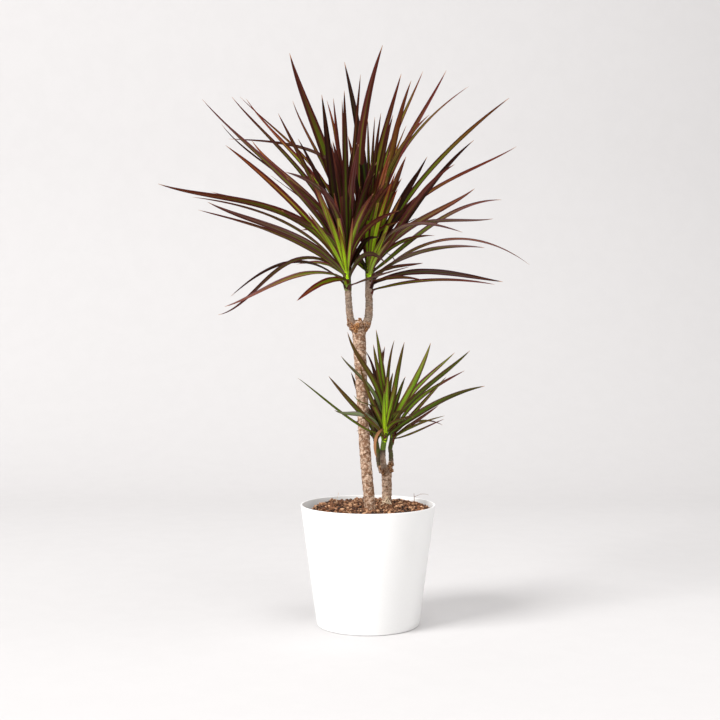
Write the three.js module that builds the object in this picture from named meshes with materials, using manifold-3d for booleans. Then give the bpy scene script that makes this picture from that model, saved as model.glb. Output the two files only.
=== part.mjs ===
// Potted dracaena marginata. Two bare canes stand in a nursery pot of coir and bark, which is dropped
// into a tapered white cover pot. The tall cane carries two leafy shoots, the short one three.
// Millimetres, +Z up, the viewer's side is -Y. The origin is the centre of the cover pot's underside.

import * as THREE from "three";
import { mergeVertices } from "three/addons/utils/BufferGeometryUtils.js";
import Module from "manifold-3d";

const wasm = await Module();
wasm.setup();

// ---- Driving dimensions ----

const SEAT_GAP = 0.3; // clearance between two pieces that touch

const POT_HEIGHT = 195;
const POT_RIM_RADIUS = 110;
const POT_BASE_RADIUS = 83.5;
const POT_WALL = 3;
const POT_FLOOR = 5;
const POT_FOOT_ROUND = 2.5;
const POT_ROUND_INSET = 0.3; // where a rounded corner's middle point lies, as a share of the round
const POT_RIM_INSET = 0.4;
const POT_SEGMENTS = 48;

const INNER_POT_HEIGHT = 180;
const INNER_POT_RIM_RADIUS = 97;
const INNER_POT_BASE_RADIUS = 74;
const INNER_POT_WALL = 1.5;
const INNER_POT_LIP = 2;
const INNER_POT_LIP_HEIGHT = 9;
const INNER_POT_SHIFT = 5.5; // it stands this far to the right in the cover pot
const INNER_POT_SEGMENTS = 32;
const DRAIN_HOLES = 6;
const DRAIN_RADIUS = 6;
const DRAIN_CIRCLE = 48;
const DRAIN_SIDES = 8;
const DRAIN_CUT = 4 * INNER_POT_WALL; // the cutter's height

const SOIL_EDGE_HEIGHT = 185;
const SOIL_MOUND = 7; // how far the middle stands above the edge
const SOIL_RELIEF = 1.4;
const SOIL_SWELL = [0.17, 0.15]; // its long waves, in radians per millimetre right and back
const SOIL_SWELL_START = [0.9, -0.4];
const SOIL_RIPPLE = [0.31, -0.2];
const SOIL_RIPPLE_SHARE = 0.6;
const SOIL_SIDE_GAP = 0.7; // between the soil and the inner pot's wall
const SOIL_RINGS = 5;
const SOIL_SEGMENTS = 26;
const CHIP_COUNT = 14;
const CHIP_SPREAD = 80; // how far from the middle the chips lie
const CHIP_LENGTHS = [9, 18];
const CHIP_WIDTHS = [5, 9];
const CHIP_THICKNESSES = [3, 5];
const CHIP_LIFT = 0.6; // a chip's middle stands this far above the soil
const CHIP_ROLL = 0.4; // how far, in radians, a chip lies off level
const CHIP_PITCH = 0.3;
const CHIP_SEED = 7;

const TALL_CANE_ROUTE = [
  [10, -62, 88],
  [3.2, -45, 189],
  [-4.5, -30, 278],
  [-9.8, -12, 375],
  [-14.3, 4, 466],
  [-14.8, 6, 479],
  [-15, 7, 487],
  [-15, 8, 494],
];
const TALL_CANE_RADII = [8.8, 9.1, 9.2, 9.5, 10.9, 13.6, 13.8, 10];
const LEFT_SHOOT_ROUTE = [
  [-22, 4, 484],
  [-29, 1, 500],
  [-31.5, -6, 525],
  [-32.5, -10, 545 - SEAT_GAP],
];
const LEFT_SHOOT_RADII = [8, 6.2, 5.6, 5.6];
const RIGHT_SHOOT_ROUTE = [
  [-6, 9, 482],
  [0.5, 12, 499],
  [2, 17, 520],
  [1.5, 20, 540 - SEAT_GAP],
];
const RIGHT_SHOOT_RADII = [9, 7, 6.3, 6.2];

const SHORT_CANE_ROUTE = [
  [32, 20, 100],
  [31.4, 16, 192],
  [30.8, 9, 240],
  [30.5, 8, 257],
];
const SHORT_CANE_RADII = [7.8, 8, 8.4, 9];
const FRONT_SHOOT_ROUTE = [
  [28, 4, 248],
  [24.5, -5, 266],
  [24, -8, 286 - SEAT_GAP],
];
const FRONT_SHOOT_RADII = [6, 4.8, 4.5];
const REAR_SHOOT_ROUTE = [
  [24, 11, 244],
  [17.8, 13, 262],
  [17, 14, 279 - SEAT_GAP],
];
const REAR_SHOOT_RADII = [5.5, 4.2, 3.8];
const SIDE_SHOOT_ROUTE = [
  [34, 9, 246],
  [38, 10, 266],
  [36.5, 10, 287 - SEAT_GAP],
];
const SIDE_SHOOT_RADII = [5.5, 4, 3.6];

// The callus lumps round each cane's sawn top: centre and radius.
const CALLUSES_TALL = [
  [-28, 3, 489, 6.6],
  [-26, -2, 482, 5.2],
  [-29.5, 1, 496, 4.4],
  [-2.5, 10, 488, 7],
  [-4.5, 3, 481, 5.2],
  [-0.5, 12, 496, 4.8],
  [-17, -7, 486, 4.6],
  [-9.5, -5.5, 487, 4.4],
  [-21, -6, 478, 3.8],
  [-13, 3, 496.5, 3.2],
  [-18.5, 8, 493, 3.4],
];
const CALLUSES_SHORT = [
  [23.2, 5, 253, 4.6],
  [38.6, 6, 259, 4.2],
  [38.4, 4, 249, 3.8],
  [28.5, 0, 251, 4.6],
  [33.5, 0.5, 256, 3.4],
  [25, 2, 245, 3.6],
];
const CALLUS_SQUASH = 0.9; // a lump's height against its width
const CALLUS_SIDES = 7;
const CALLUS_RINGS = 4;

const SCAR_SPACING = 9; // leaf scars along a cane
const SCAR_DEPTH = 0.35;
const CANE_SIDES = 10;
const SHOOT_SIDES = 8;
const TALL_CANE_STEPS = 26; // lengths that a cane or a shoot is made of
const SHORT_CANE_STEPS = 12;
const TALL_SHOOT_STEPS = 5;
const SHORT_SHOOT_STEPS = 4;
const TALL_HOLE_STEPS = 24;
const HOLE_GAP = 2 * SEAT_GAP; // round a cane in the soil, beyond the depth of its scars

const KEEL = 1.4; // a blade's thickness at its midrib
const KEEL_TAPER = 0.4; // the share of it that is gone at the tip
const BLADE_STATIONS = [0, 0.2, 0.45, 0.72];
const BLADE_ROOT_WIDTH = 0.4; // share of the full width
const BLADE_FLARE = 1.5; // how fast it widens from the root
const BLADE_TIP_CURVE = [2.2, 1.05]; // how late and how fast it narrows to the tip
const CORE_TAPER = 0.9; // a core's top radius against its foot's
const CORE_STEPS = 3;
const ROOT_DEPTH = 0.6; // a leaf's root lies this share of the core's radius out from its middle
const START_DIP = 15; // degrees below level at which a leaf would start from the core's foot
const START_RANGE = 90; // degrees from there to a leaf that starts from its top
const START_SHARES = [0.06, 0.94];
const RIB_BENDS = [1 / 3, 0.7]; // where along its straight line a midrib is bowed
const RIB_STEP = 0.02; // the share of its length over which its direction is read
const GOLDEN_ANGLE = 137.5;
const OUTLINE_TURN = [0.45, 1]; // how far blades turn their nearer faces square to the viewer
const SPIRAL_TURN = [0, 0.9];
const TWIST_LIMIT = 0.4; // how far, in radians, they twist from root to tip

// The spiral's leaves, from the youngest to the oldest.
const SPIRAL_CLIMB = [84, 30]; // degrees above level
const SPIRAL_LEAN = 15; // how much lower than that old leaves lie at the back, and how much higher in front
const SPIRAL_CLIMB_SPREAD = 16;
const SPIRAL_AZIMUTH_SPREAD = 20;
const SPIRAL_BOW = [0.04, 0.3]; // share of the length
const SPIRAL_SIDE_CUT = 0.45; // how much shorter old leaves are to the left and right
const SPIRAL_LENGTH = [0.72, 0.28]; // share of the reach that every leaf has, and that middle age adds
const SPIRAL_LENGTH_SPREAD = [0.82, 1.1];
const SPIRAL_BOW_SPREAD = [0.6, 1.2];
const SPIRAL_TAIL = [0, 0.8]; // share of the bow
const SPIRAL_WIDTH_SPREAD = [0.8, 1.15];
const TURN_SEED = 1000; // what a head's seed is raised by for its blades' turns

// Each leafy shoot: its core, the leaves that give it its outline, and how many more the spiral adds.
// An outline leaf is its tip's place from the core's foot (right, back, up), how far it bows above the
// straight line near the root and near the tip, its width and, where it isn't by the rule, how far up
// the core it starts.
const HEADS = {
  upper_left_crown: {
    seed: 332,
    foot: [-32.5, -10, 545],
    top: [-35, -12, 592],
    radius: 5.8,
    spiral: { count: 24, reach: 270, width: 13 },
    outline: [
      [-298, -70, 163, 100, 12, 12],
      [-230, 60, 166, 75, 20, 8],
      [-252, -10, 149, 52, 30, 6],
      [-215, -110, 130, 41, 0, 11],
      [-236, -60, 123, 33, 12, 10],
      [-195, 40, -10, 80, 42, 6],
      [-208, -30, -42, 104, -10, 7, 0.6],
      [-192, -80, -30, 50, 3, 10, 0.35],
      [-78, -110, -22, 20, 10, 11, 0.3],
      [-239, 10, 312, 46, -2, 15],
      [-197, 70, 328, 60, 8, 9],
      [-170, 40, 319, 70, 2, 12],
      [-182, 60, 326, 88, 20, 6],
      [-106, -120, 264, 18, 5, 10],
      [-95, 90, 325, 60, 0, 7],
      [-215, 80, 283, 70, -8, 7],
      [-200, 50, 253, 182, 82, 7],
      [-193, -60, 225, 20, 14, 12],
      [-165, 90, 258, 60, -5, 10],
      [-93, -150, 170, 95, 50, 10],
      [-97, 30, 392, 40, 0, 18],
      [-41, -70, 303, -15, 0, 14],
      [-35, 10, 310, 15, 15, 11],
      [-23, -50, 301, 10, 5, 9],
      [-9, -70, 294, 8, 8, 7],
      [-5, -130, 297, 20, 20, 11],
      [20, -100, 328, 10, 10, 8],
      [60, -90, 35, 40, 35, 9],
      [96, -100, 31, 4, 2, 4.5, 0.1],
      [12, -60, 235, 5, 10, 13],
      [45, -120, 190, 25, 20, 12],
      [-79, -50, 237, 20, 10, 10],
      [-58, -75, 178, 5, 0, 11],
      [-22, -60, 150, 0, 0, 10],
    ],
  },
  upper_right_crown: {
    seed: 146,
    foot: [1.5, 20, 540],
    top: [2, 22, 598],
    radius: 6.2,
    spiral: { count: 25, reach: 270, width: 13 },
    outline: [
      [23, -15, 407, 50, 38, 17],
      [-41, 50, 394, 30, 15, 14],
      [57, 80, 381, 50, 15, 13],
      [68, -50, 341, 0, 15, 15],
      [96, 110, 392, 60, 15, 9],
      [133, 60, 382, 50, 10, 10],
      [175, 100, 363, 80, 50, 7],
      [96, -70, 282, 40, 46, 11],
      [238, 40, 331, 42, 26, 11],
      [168, -60, 243, 0, 17, 12],
      [135, -90, 200, 0, 28, 11],
      [255, 80, 255, 80, 15, 8],
      [90, -105, 210, 15, 0, 11],
      [167, -80, 163, 42, 0, 12],
      [226, 50, 160, 15, 42, 9],
      [206, 0, 123, 97, 18, 8],
      [146, -105, 91, 93, 45, 7],
      [275, 60, 50, 80, 75, 7],
      [187, -40, 72, 32, 25, 8],
      [217, -40, 17, 40, 10, 11],
      [213, 40, 16, 20, 15, 6, 0.06],
      [88, -25, 20, 10, 8, 6],
      [88, -30, 48, 12, 2, 7],
      [-45, 110, 143, 60, -5, 10],
      [-35, 60, 270, 10, 10, 13],
      [-60, 100, 235, 20, 15, 12],
      [17, -40, 291, 15, 10, 9],
      [9, -20, 288, 8, 5, 7],
      [-2, 5, 290, 5, 5, 7],
      [63, 20, 281, 20, 10, 7],
      [57, -80, 214, 5, 8, 14],
      [79, -60, 195, 5, 8, 9],
      [31, -70, 283, 15, 10, 11],
      [16, -75, 225, 5, 5, 11],
      [45, -60, 165, 5, 5, 10],
    ],
  },
  lower_front_crown: {
    seed: 353,
    foot: [24, -8, 286],
    top: [29, -13, 322],
    radius: 4.6,
    spiral: { count: 12, reach: 125, width: 9.5 },
    outline: [
      [-132, -130, 120, -14, -2, 4.5],
      [-86, -105, 122, -4, -4, 9],
      [-77, -100, 69, 45, 0, 7],
      [-67, -100, 153, 50, 6, 7],
      [-57, -80, 190, 50, -10, 10],
      [-37, -75, 138, 0, -14, 8],
      [-16, -40, 170, 20, 0, 10],
      [-12, -60, 194, 40, 10, 10],
      [18, -25, 177, 8, 14, 7],
      [34, -30, 174, -2, 3, 10],
      [15, -50, 126, 10, 10, 8],
      [34, -70, 120, -5, 5, 8],
      [75, -50, 173, -6, -8, 12],
      [159, -70, 105, 14, 17, 10],
      [136, -65, 161, 20, 0, 11],
      [46, -75, 55, 30, 35, 7],
      [-16, -27, -11, 25, 12, 6, 0.9],
      [18, -35, 105, 0, 0, 9],
      [6, -40, 118, 0, 0, 9],
    ],
  },
  lower_left_crown: {
    seed: 356,
    foot: [17, 14, 279],
    top: [11, 18, 310],
    radius: 4,
    spiral: { count: 11, reach: 115, width: 9 },
    outline: [
      [-45, 30, 130, 0, 0, 8],
      [-21, 50, 166, 45, 38, 8],
      [13, 60, 173, 15, 15, 9],
      [12, 20, 168, 15, 15, 8],
    ],
  },
  lower_right_crown: {
    seed: 24,
    foot: [36.5, 10, 287],
    top: [42, 14, 314],
    radius: 3.8,
    spiral: { count: 8, reach: 100, width: 9 },
    outline: [
      [108, 20, 155, 33, 8, 9.5],
      [127, 50, 124, 33, 13, 7],
      [94, 20, 115, 0, 0, 6.5],
      [80, 5, 68, 0, 0, 6],
      [89, -10, 52, 8, 5, 4.5],
      [90, 15, 45, -5, 0, 3.5],
      [90, 50, 32, 25, 25, 4],
    ],
  },
};

// Upright planes that keep the heads apart: a point on the plane, the way to the first head, how far
// the midribs keep off it, and how gently they bend away.
const PARTINGS = [
  {
    heads: ["upper_left_crown", "upper_right_crown"],
    at: [-15.5, 5],
    facing: [-0.75, -0.66],
    clear: 8.5,
    soft: 5,
  },
  {
    heads: ["lower_front_crown", "lower_left_crown"],
    at: [20.5, 3],
    facing: [0.28, -0.96],
    clear: 5.8,
    soft: 2.5,
  },
  {
    heads: ["lower_front_crown", "lower_right_crown"],
    at: [30.25, 1],
    facing: [-0.2, -0.98],
    clear: 5.8,
    soft: 2.5,
  },
  {
    heads: ["lower_left_crown", "lower_right_crown"],
    at: [26.75, 12],
    facing: [-0.98, 0.19],
    clear: 5.5,
    soft: 2.5,
  },
];
const TRUNK_CLEARANCE = 17; // between the tall cane's axis and a lower leaf's midrib
const TRUNK_SOFTNESS = 3;

const WELD = 1e-4; // points nearer than this are one

// Each piece's colour and roughness.
const FINISHES = {
  cover_pot: [0xf2f2ef, 0.4],
  nursery_pot: [0x2b2b2b, 0.6],
  soil: [0x6b4630, 0.95],
  tall_cane: [0xa8977f, 0.85],
  short_cane: [0x9c8468, 0.85],
  upper_left_crown: [0x5b3a35, 0.5],
  upper_right_crown: [0x5a4a35, 0.5],
  lower_front_crown: [0x5e6b35, 0.5],
  lower_left_crown: [0x33452b, 0.5],
  lower_right_crown: [0x56603a, 0.5],
};

// ---- Shared shapes ----

const vector = (p) => new THREE.Vector3(...p);
const lerp = THREE.MathUtils.lerp;
const radians = THREE.MathUtils.degToRad;

// A repeatable draw of numbers from 0 to 1.
function drawFrom(seed) {
  let state = seed;
  return () => {
    state = (state * 1664525 + 1013904223) % 4294967296;
    return state / 4294967296;
  };
}

// A closed geometry as a solid that can be joined and cut.
function solid(geometry) {
  const bare = geometry.clone();
  bare.deleteAttribute("normal");
  bare.deleteAttribute("uv");
  const merged = mergeVertices(bare, WELD);
  return new wasm.Manifold(
    new wasm.Mesh({
      numProp: 3,
      vertProperties: merged.attributes.position.array,
      triVerts: new Uint32Array(merged.index.array),
    }),
  );
}

const joined = (solids) => wasm.Manifold.union(solids);

// One body of a solid: the hollows that its repeats seal are filled, and loose scraps are dropped.
function oneBody(made) {
  return made.decompose().reduce((largest, body) => (body.volume() > largest.volume() ? body : largest));
}

// A named mesh of a solid, with its material.
function piece(name, made) {
  const [color, roughness] = FINISHES[name];
  const { vertProperties, triVerts } = made.getMesh();
  const geometry = new THREE.BufferGeometry()
    .setAttribute("position", new THREE.BufferAttribute(vertProperties, 3))
    .setIndex(new THREE.BufferAttribute(triVerts, 1));
  geometry.computeVertexNormals();
  const mesh = new THREE.Mesh(geometry, new THREE.MeshStandardMaterial({ color, roughness, metalness: 0 }));
  mesh.name = name;
  return mesh;
}

// A closed skin over rings of the same number of points, each ring ordered anticlockwise as seen from
// the last one, with a fan over each end.
function skin(rings, firstCentre, lastCentre) {
  const sides = rings[0].length;
  const points = [...rings.flat(), firstCentre, lastCentre];
  const faces = [];
  for (let r = 0; r + 1 < rings.length; r++)
    for (let s = 0; s < sides; s++) {
      const a = r * sides + s;
      const b = r * sides + ((s + 1) % sides);
      faces.push(a, b, b + sides, a, b + sides, a + sides);
    }
  const first = rings.length * sides;
  const lastRing = (rings.length - 1) * sides;
  for (let s = 0; s < sides; s++) {
    const next = (s + 1) % sides;
    faces.push(first, next, s, first + 1, lastRing + s, lastRing + next);
  }
  return new THREE.BufferGeometry().setFromPoints(points).setIndex(faces);
}

// A tube along a route that climbs, in level sections, with a radius at each point of the route.
function climbingTube(route, radii, sides, steps, relief = () => 0) {
  const curve = new THREE.CatmullRomCurve3(route.map(vector));
  const rings = [];
  for (let i = 0; i <= steps; i++) {
    const along = (i / steps) * (radii.length - 1);
    const k = Math.min(Math.floor(along), radii.length - 2);
    const radius = lerp(radii[k], radii[k + 1], along - k);
    const centre = curve.getPoint(i / steps);
    rings.push(
      Array.from({ length: sides }, (_, s) => {
        const angle = (2 * Math.PI * s) / sides;
        const reach = radius + relief(centre.z, angle);
        return centre.clone().add(new THREE.Vector3(reach * Math.cos(angle), reach * Math.sin(angle), 0));
      }),
    );
  }
  return solid(skin(rings, curve.getPoint(0), curve.getPoint(1)));
}

function callus([x, y, z, radius]) {
  const geometry = new THREE.SphereGeometry(radius, CALLUS_SIDES, CALLUS_RINGS);
  geometry.rotateX(Math.PI / 2);
  geometry.scale(1, 1, CALLUS_SQUASH);
  return solid(geometry.translate(x, y, z));
}

// A body turned about +Z from a closed outline of (radius, height).
function turned(outline, segments) {
  const geometry = new THREE.LatheGeometry(outline.map(([r, z]) => new THREE.Vector2(r, z)), segments);
  return solid(geometry.rotateX(Math.PI / 2));
}

// ---- Pots and soil ----

const wallRadius = (z, base, rim, height) => base + ((rim - base) * z) / height;

function coverPot() {
  const outer = (z) => wallRadius(z, POT_BASE_RADIUS, POT_RIM_RADIUS, POT_HEIGHT);
  const half = POT_WALL / 2;
  return turned(
    [
      [0, 0],
      [POT_BASE_RADIUS - POT_FOOT_ROUND, 0],
      [POT_BASE_RADIUS - POT_FOOT_ROUND * POT_ROUND_INSET, POT_FOOT_ROUND * POT_ROUND_INSET],
      [outer(POT_FOOT_ROUND), POT_FOOT_ROUND],
      [outer(POT_HEIGHT - half), POT_HEIGHT - half],
      [POT_RIM_RADIUS - half * POT_RIM_INSET, POT_HEIGHT - half * POT_ROUND_INSET],
      [POT_RIM_RADIUS - half, POT_HEIGHT],
      [POT_RIM_RADIUS - POT_WALL + half * POT_RIM_INSET, POT_HEIGHT - half * POT_ROUND_INSET],
      [outer(POT_HEIGHT - half) - POT_WALL, POT_HEIGHT - half],
      [outer(POT_FLOOR) - POT_WALL, POT_FLOOR],
      [0, POT_FLOOR],
    ],
    POT_SEGMENTS,
  );
}

const INNER_POT_FOOT = POT_FLOOR + SEAT_GAP;
const INNER_POT_TOP_RADIUS = INNER_POT_RIM_RADIUS - INNER_POT_LIP;
const innerPotRadius = (z) =>
  wallRadius(z - INNER_POT_FOOT, INNER_POT_BASE_RADIUS, INNER_POT_TOP_RADIUS, INNER_POT_HEIGHT);

function nurseryPot() {
  const top = INNER_POT_FOOT + INNER_POT_HEIGHT;
  const lip = top - INNER_POT_LIP_HEIGHT;
  const floor = INNER_POT_FOOT + INNER_POT_WALL;
  const shell = turned(
    [
      [0, INNER_POT_FOOT],
      [INNER_POT_BASE_RADIUS, INNER_POT_FOOT],
      [innerPotRadius(lip), lip],
      [innerPotRadius(lip) + INNER_POT_LIP, lip],
      [INNER_POT_RIM_RADIUS, top],
      [innerPotRadius(top) - INNER_POT_WALL, top],
      [innerPotRadius(floor) - INNER_POT_WALL, floor],
      [0, floor],
    ],
    INNER_POT_SEGMENTS,
  );
  const drains = [];
  for (let i = 0; i < DRAIN_HOLES; i++) {
    const angle = (2 * Math.PI * i) / DRAIN_HOLES;
    const drain = new THREE.CylinderGeometry(DRAIN_RADIUS, DRAIN_RADIUS, DRAIN_CUT, DRAIN_SIDES);
    drain.rotateX(Math.PI / 2);
    drain.translate(DRAIN_CIRCLE * Math.cos(angle), DRAIN_CIRCLE * Math.sin(angle), INNER_POT_FOOT);
    drains.push(solid(drain));
  }
  return shell.subtract(joined(drains)).translate([INNER_POT_SHIFT, 0, 0]);
}

// The height of the soil, from its own centre: a low mound with an uneven top.
function soilHeight(x, y) {
  const share = Math.min(Math.hypot(x, y) / INNER_POT_RIM_RADIUS, 1);
  const swell = [x, y].map((v, k) => Math.sin(SOIL_SWELL[k] * v + SOIL_SWELL_START[k]));
  const ripple = Math.sin(SOIL_RIPPLE[0] * x + SOIL_RIPPLE[1] * y);
  const relief = swell[0] * swell[1] + SOIL_RIPPLE_SHARE * ripple;
  return SOIL_EDGE_HEIGHT + SOIL_MOUND * (1 - share * share) + SOIL_RELIEF * relief;
}

function barkChips() {
  const draw = drawFrom(CHIP_SEED);
  const chips = [];
  for (let i = 0; i < CHIP_COUNT; i++) {
    const distance = CHIP_SPREAD * Math.sqrt(draw());
    const angle = radians(i * GOLDEN_ANGLE);
    const x = distance * Math.cos(angle);
    const y = distance * Math.sin(angle);
    const size = [CHIP_LENGTHS, CHIP_WIDTHS, CHIP_THICKNESSES].map((range) => lerp(...range, draw()));
    const chip = new THREE.BoxGeometry(...size);
    chip.rotateX(lerp(-CHIP_ROLL, CHIP_ROLL, draw()));
    chip.rotateY(lerp(-CHIP_PITCH, CHIP_PITCH, draw()));
    chip.rotateZ(2 * Math.PI * draw());
    chips.push(solid(chip.translate(x, y, soilHeight(x, y) + CHIP_LIFT)));
  }
  return chips;
}

function soil() {
  const floor = INNER_POT_FOOT + INNER_POT_WALL + SEAT_GAP;
  const inside = (z) => innerPotRadius(z) - INNER_POT_WALL - SOIL_SIDE_GAP;
  const ring = (reach, height) =>
    Array.from({ length: SOIL_SEGMENTS }, (_, s) => {
      const angle = (2 * Math.PI * s) / SOIL_SEGMENTS;
      const x = reach * Math.cos(angle);
      const y = reach * Math.sin(angle);
      return new THREE.Vector3(x, y, height ?? soilHeight(x, y));
    });
  const rings = [ring(inside(floor), floor)];
  const radius = inside(SOIL_EDGE_HEIGHT - SOIL_MOUND / 2);
  for (let k = SOIL_RINGS; k > 0; k--) rings.push(ring((radius * k) / SOIL_RINGS));
  const bed = solid(skin(rings, new THREE.Vector3(0, 0, floor), new THREE.Vector3(0, 0, soilHeight(0, 0))));
  const wider = (radii) => radii.map((r) => r + SCAR_DEPTH + HOLE_GAP);
  const lower = (route) => [[route[0][0], route[0][1], route[0][2] - HOLE_GAP], ...route.slice(1)];
  const holes = joined([
    climbingTube(lower(TALL_CANE_ROUTE), wider(TALL_CANE_RADII), CANE_SIDES, TALL_HOLE_STEPS),
    climbingTube(lower(SHORT_CANE_ROUTE), wider(SHORT_CANE_RADII), CANE_SIDES, SHORT_CANE_STEPS),
  ]);
  return oneBody(joined([bed, ...barkChips()]).translate([INNER_POT_SHIFT, 0, 0]).subtract(holes));
}

// ---- Canes ----

// The shallow steps that fallen leaves left: each ring tilts, and its back lies half a step higher.
const leafScars = (z, angle) => {
  const step = Math.sin((2 * Math.PI * z) / SCAR_SPACING + angle);
  return (-SCAR_DEPTH * (1 + step)) / 2;
};

function tallCane() {
  return joined([
    climbingTube(TALL_CANE_ROUTE, TALL_CANE_RADII, CANE_SIDES, TALL_CANE_STEPS, leafScars),
    climbingTube(LEFT_SHOOT_ROUTE, LEFT_SHOOT_RADII, SHOOT_SIDES, TALL_SHOOT_STEPS),
    climbingTube(RIGHT_SHOOT_ROUTE, RIGHT_SHOOT_RADII, SHOOT_SIDES, TALL_SHOOT_STEPS),
    ...CALLUSES_TALL.map(callus),
  ]);
}

function shortCane() {
  return joined([
    climbingTube(SHORT_CANE_ROUTE, SHORT_CANE_RADII, CANE_SIDES, SHORT_CANE_STEPS, leafScars),
    climbingTube(FRONT_SHOOT_ROUTE, FRONT_SHOOT_RADII, SHOOT_SIDES, SHORT_SHOOT_STEPS),
    climbingTube(REAR_SHOOT_ROUTE, REAR_SHOOT_RADII, SHOOT_SIDES, SHORT_SHOOT_STEPS),
    climbingTube(SIDE_SHOOT_ROUTE, SIDE_SHOOT_RADII, SHOOT_SIDES, SHORT_SHOOT_STEPS),
    ...CALLUSES_SHORT.map(callus),
  ]);
}

// ---- Leaves ----

// The leaves that the spiral adds, from the upright spears in the middle to the arching old ones.
function spiralLeaves({ seed, spiral }) {
  const draw = drawFrom(seed);
  const leaves = [];
  for (let i = 0; i < spiral.count; i++) {
    const age = (i + 0.5) / spiral.count;
    const azimuth = radians(i * GOLDEN_ANGLE + SPIRAL_AZIMUTH_SPREAD * draw());
    const lean = SPIRAL_LEAN * age * Math.sin(azimuth);
    const climb = radians(lerp(...SPIRAL_CLIMB, age) - lean + SPIRAL_CLIMB_SPREAD * (draw() - 0.5));
    const grown = SPIRAL_LENGTH[0] + SPIRAL_LENGTH[1] * Math.sin(Math.PI * age);
    const fullLength = spiral.reach * grown * lerp(...SPIRAL_LENGTH_SPREAD, draw());
    const length = fullLength * (1 - SPIRAL_SIDE_CUT * age * Math.abs(Math.cos(azimuth)));
    const reach = length * Math.cos(climb);
    const bow = length * lerp(...SPIRAL_BOW, age) * lerp(...SPIRAL_BOW_SPREAD, draw());
    leaves.push([
      reach * Math.cos(azimuth),
      reach * Math.sin(azimuth),
      length * Math.sin(climb),
      bow,
      bow * lerp(...SPIRAL_TAIL, draw()),
      spiral.width * lerp(...SPIRAL_WIDTH_SPREAD, draw()),
    ]);
  }
  return leaves;
}

// How far a point moves that lies too near by a length: that length, or softly less down to nothing.
const softPush = (near, soft) => soft * Math.log1p(Math.exp(near / soft));

// Bends a midrib's point away from the planes between the heads and from the tall cane.
function bentClear(point, name) {
  for (const { heads, at, facing, clear, soft } of PARTINGS) {
    if (!heads.includes(name)) continue;
    const side = heads[0] === name ? 1 : -1;
    const off = side * ((point.x - at[0]) * facing[0] + (point.y - at[1]) * facing[1]);
    const push = side * softPush(clear - off, soft);
    point.x += facing[0] * push;
    point.y += facing[1] * push;
  }
  if (name.startsWith("lower")) {
    const [low, high] = [TALL_CANE_ROUTE[1], TALL_CANE_ROUTE[4]];
    const share = (point.z - low[2]) / (high[2] - low[2]);
    const dx = point.x - lerp(low[0], high[0], share);
    const dy = point.y - lerp(low[1], high[1], share);
    const off = Math.hypot(dx, dy);
    const push = softPush(TRUNK_CLEARANCE - off, TRUNK_SOFTNESS);
    point.x += (dx / off) * push;
    point.y += (dy / off) * push;
  }
  return point;
}

// How far up the core a leaf starts: low leaves near its foot, upright ones near its top.
function startShare(x, y, z) {
  const climb = Math.atan2(z, Math.hypot(x, y));
  const share = (climb + radians(START_DIP)) / radians(START_RANGE);
  return THREE.MathUtils.clamp(share, ...START_SHARES);
}

// A leaf's midrib.
function midrib(head, [x, y, z, bow, tail, , share = startShare(x, y, z)]) {
  const foot = vector(head.foot);
  const away = new THREE.Vector3(x, y, 0).normalize();
  const depth = ROOT_DEPTH * lerp(head.radius, CORE_TAPER * head.radius, share);
  const root = foot.clone().lerp(vector(head.top), share).addScaledVector(away, depth);
  const tip = foot.clone().add(new THREE.Vector3(x, y, z));
  const chord = tip.clone().sub(root);
  const rise = Math.atan2(chord.z, Math.hypot(chord.x, chord.y));
  const above = away.clone().multiplyScalar(-Math.sin(rise)).setZ(Math.cos(rise));
  return new THREE.CubicBezierCurve3(
    root,
    root.clone().addScaledVector(chord, RIB_BENDS[0]).addScaledVector(above, bow),
    root.clone().addScaledVector(chord, RIB_BENDS[1]).addScaledVector(above, tail),
    tip,
  );
}

// The share of its full width that a leaf has along its length: narrow root, long fine tip.
function leafWidth(t) {
  const flared = Math.min(1, BLADE_ROOT_WIDTH + BLADE_FLARE * t);
  return flared * Math.pow(1 - t ** BLADE_TIP_CURVE[0], BLADE_TIP_CURVE[1]);
}

// A point of a leaf's midrib, the way it runs there, and the way across it before it turns.
function ribAxes(name, curve, leaf, t) {
  const rib = (share) => bentClear(curve.getPoint(share), name);
  const tangent = rib(t + RIB_STEP).sub(rib(Math.max(t - RIB_STEP, 0))).normalize();
  const level = new THREE.Vector3(-leaf[1], leaf[0], 0).normalize();
  const side = level.addScaledVector(tangent, -level.dot(tangent)).normalize();
  return { centre: rib(t), tangent, side };
}

// The turn that would lay a leaf's nearer face square to the viewer, halfway along it.
function facingTurn(name, curve, leaf) {
  const { tangent, side } = ribAxes(name, curve, leaf, 0.5);
  return Math.atan(-side.y / new THREE.Vector3().crossVectors(tangent, side).y);
}

// One strap leaf: a shallow three-sided section along the midrib, which turns and twists.
function blade(name, head, leaf, turnShare, twist) {
  const curve = midrib(head, leaf);
  const turn = turnShare * facingTurn(name, curve, leaf);
  const rings = BLADE_STATIONS.map((t) => {
    const { centre, tangent, side } = ribAxes(name, curve, leaf, t);
    side.applyAxisAngle(tangent, turn + twist * t);
    const face = new THREE.Vector3().crossVectors(side, tangent);
    const half = (leaf[5] / 2) * leafWidth(t);
    const keel = KEEL * (1 - KEEL_TAPER * t);
    return [
      centre.clone().addScaledVector(side, half),
      centre.clone().addScaledVector(side, -half),
      centre.clone().addScaledVector(face, keel),
    ];
  });
  return solid(skin(rings, rings[0][0].clone().lerp(rings[0][1], 0.5), bentClear(curve.getPoint(1), name)));
}

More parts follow.
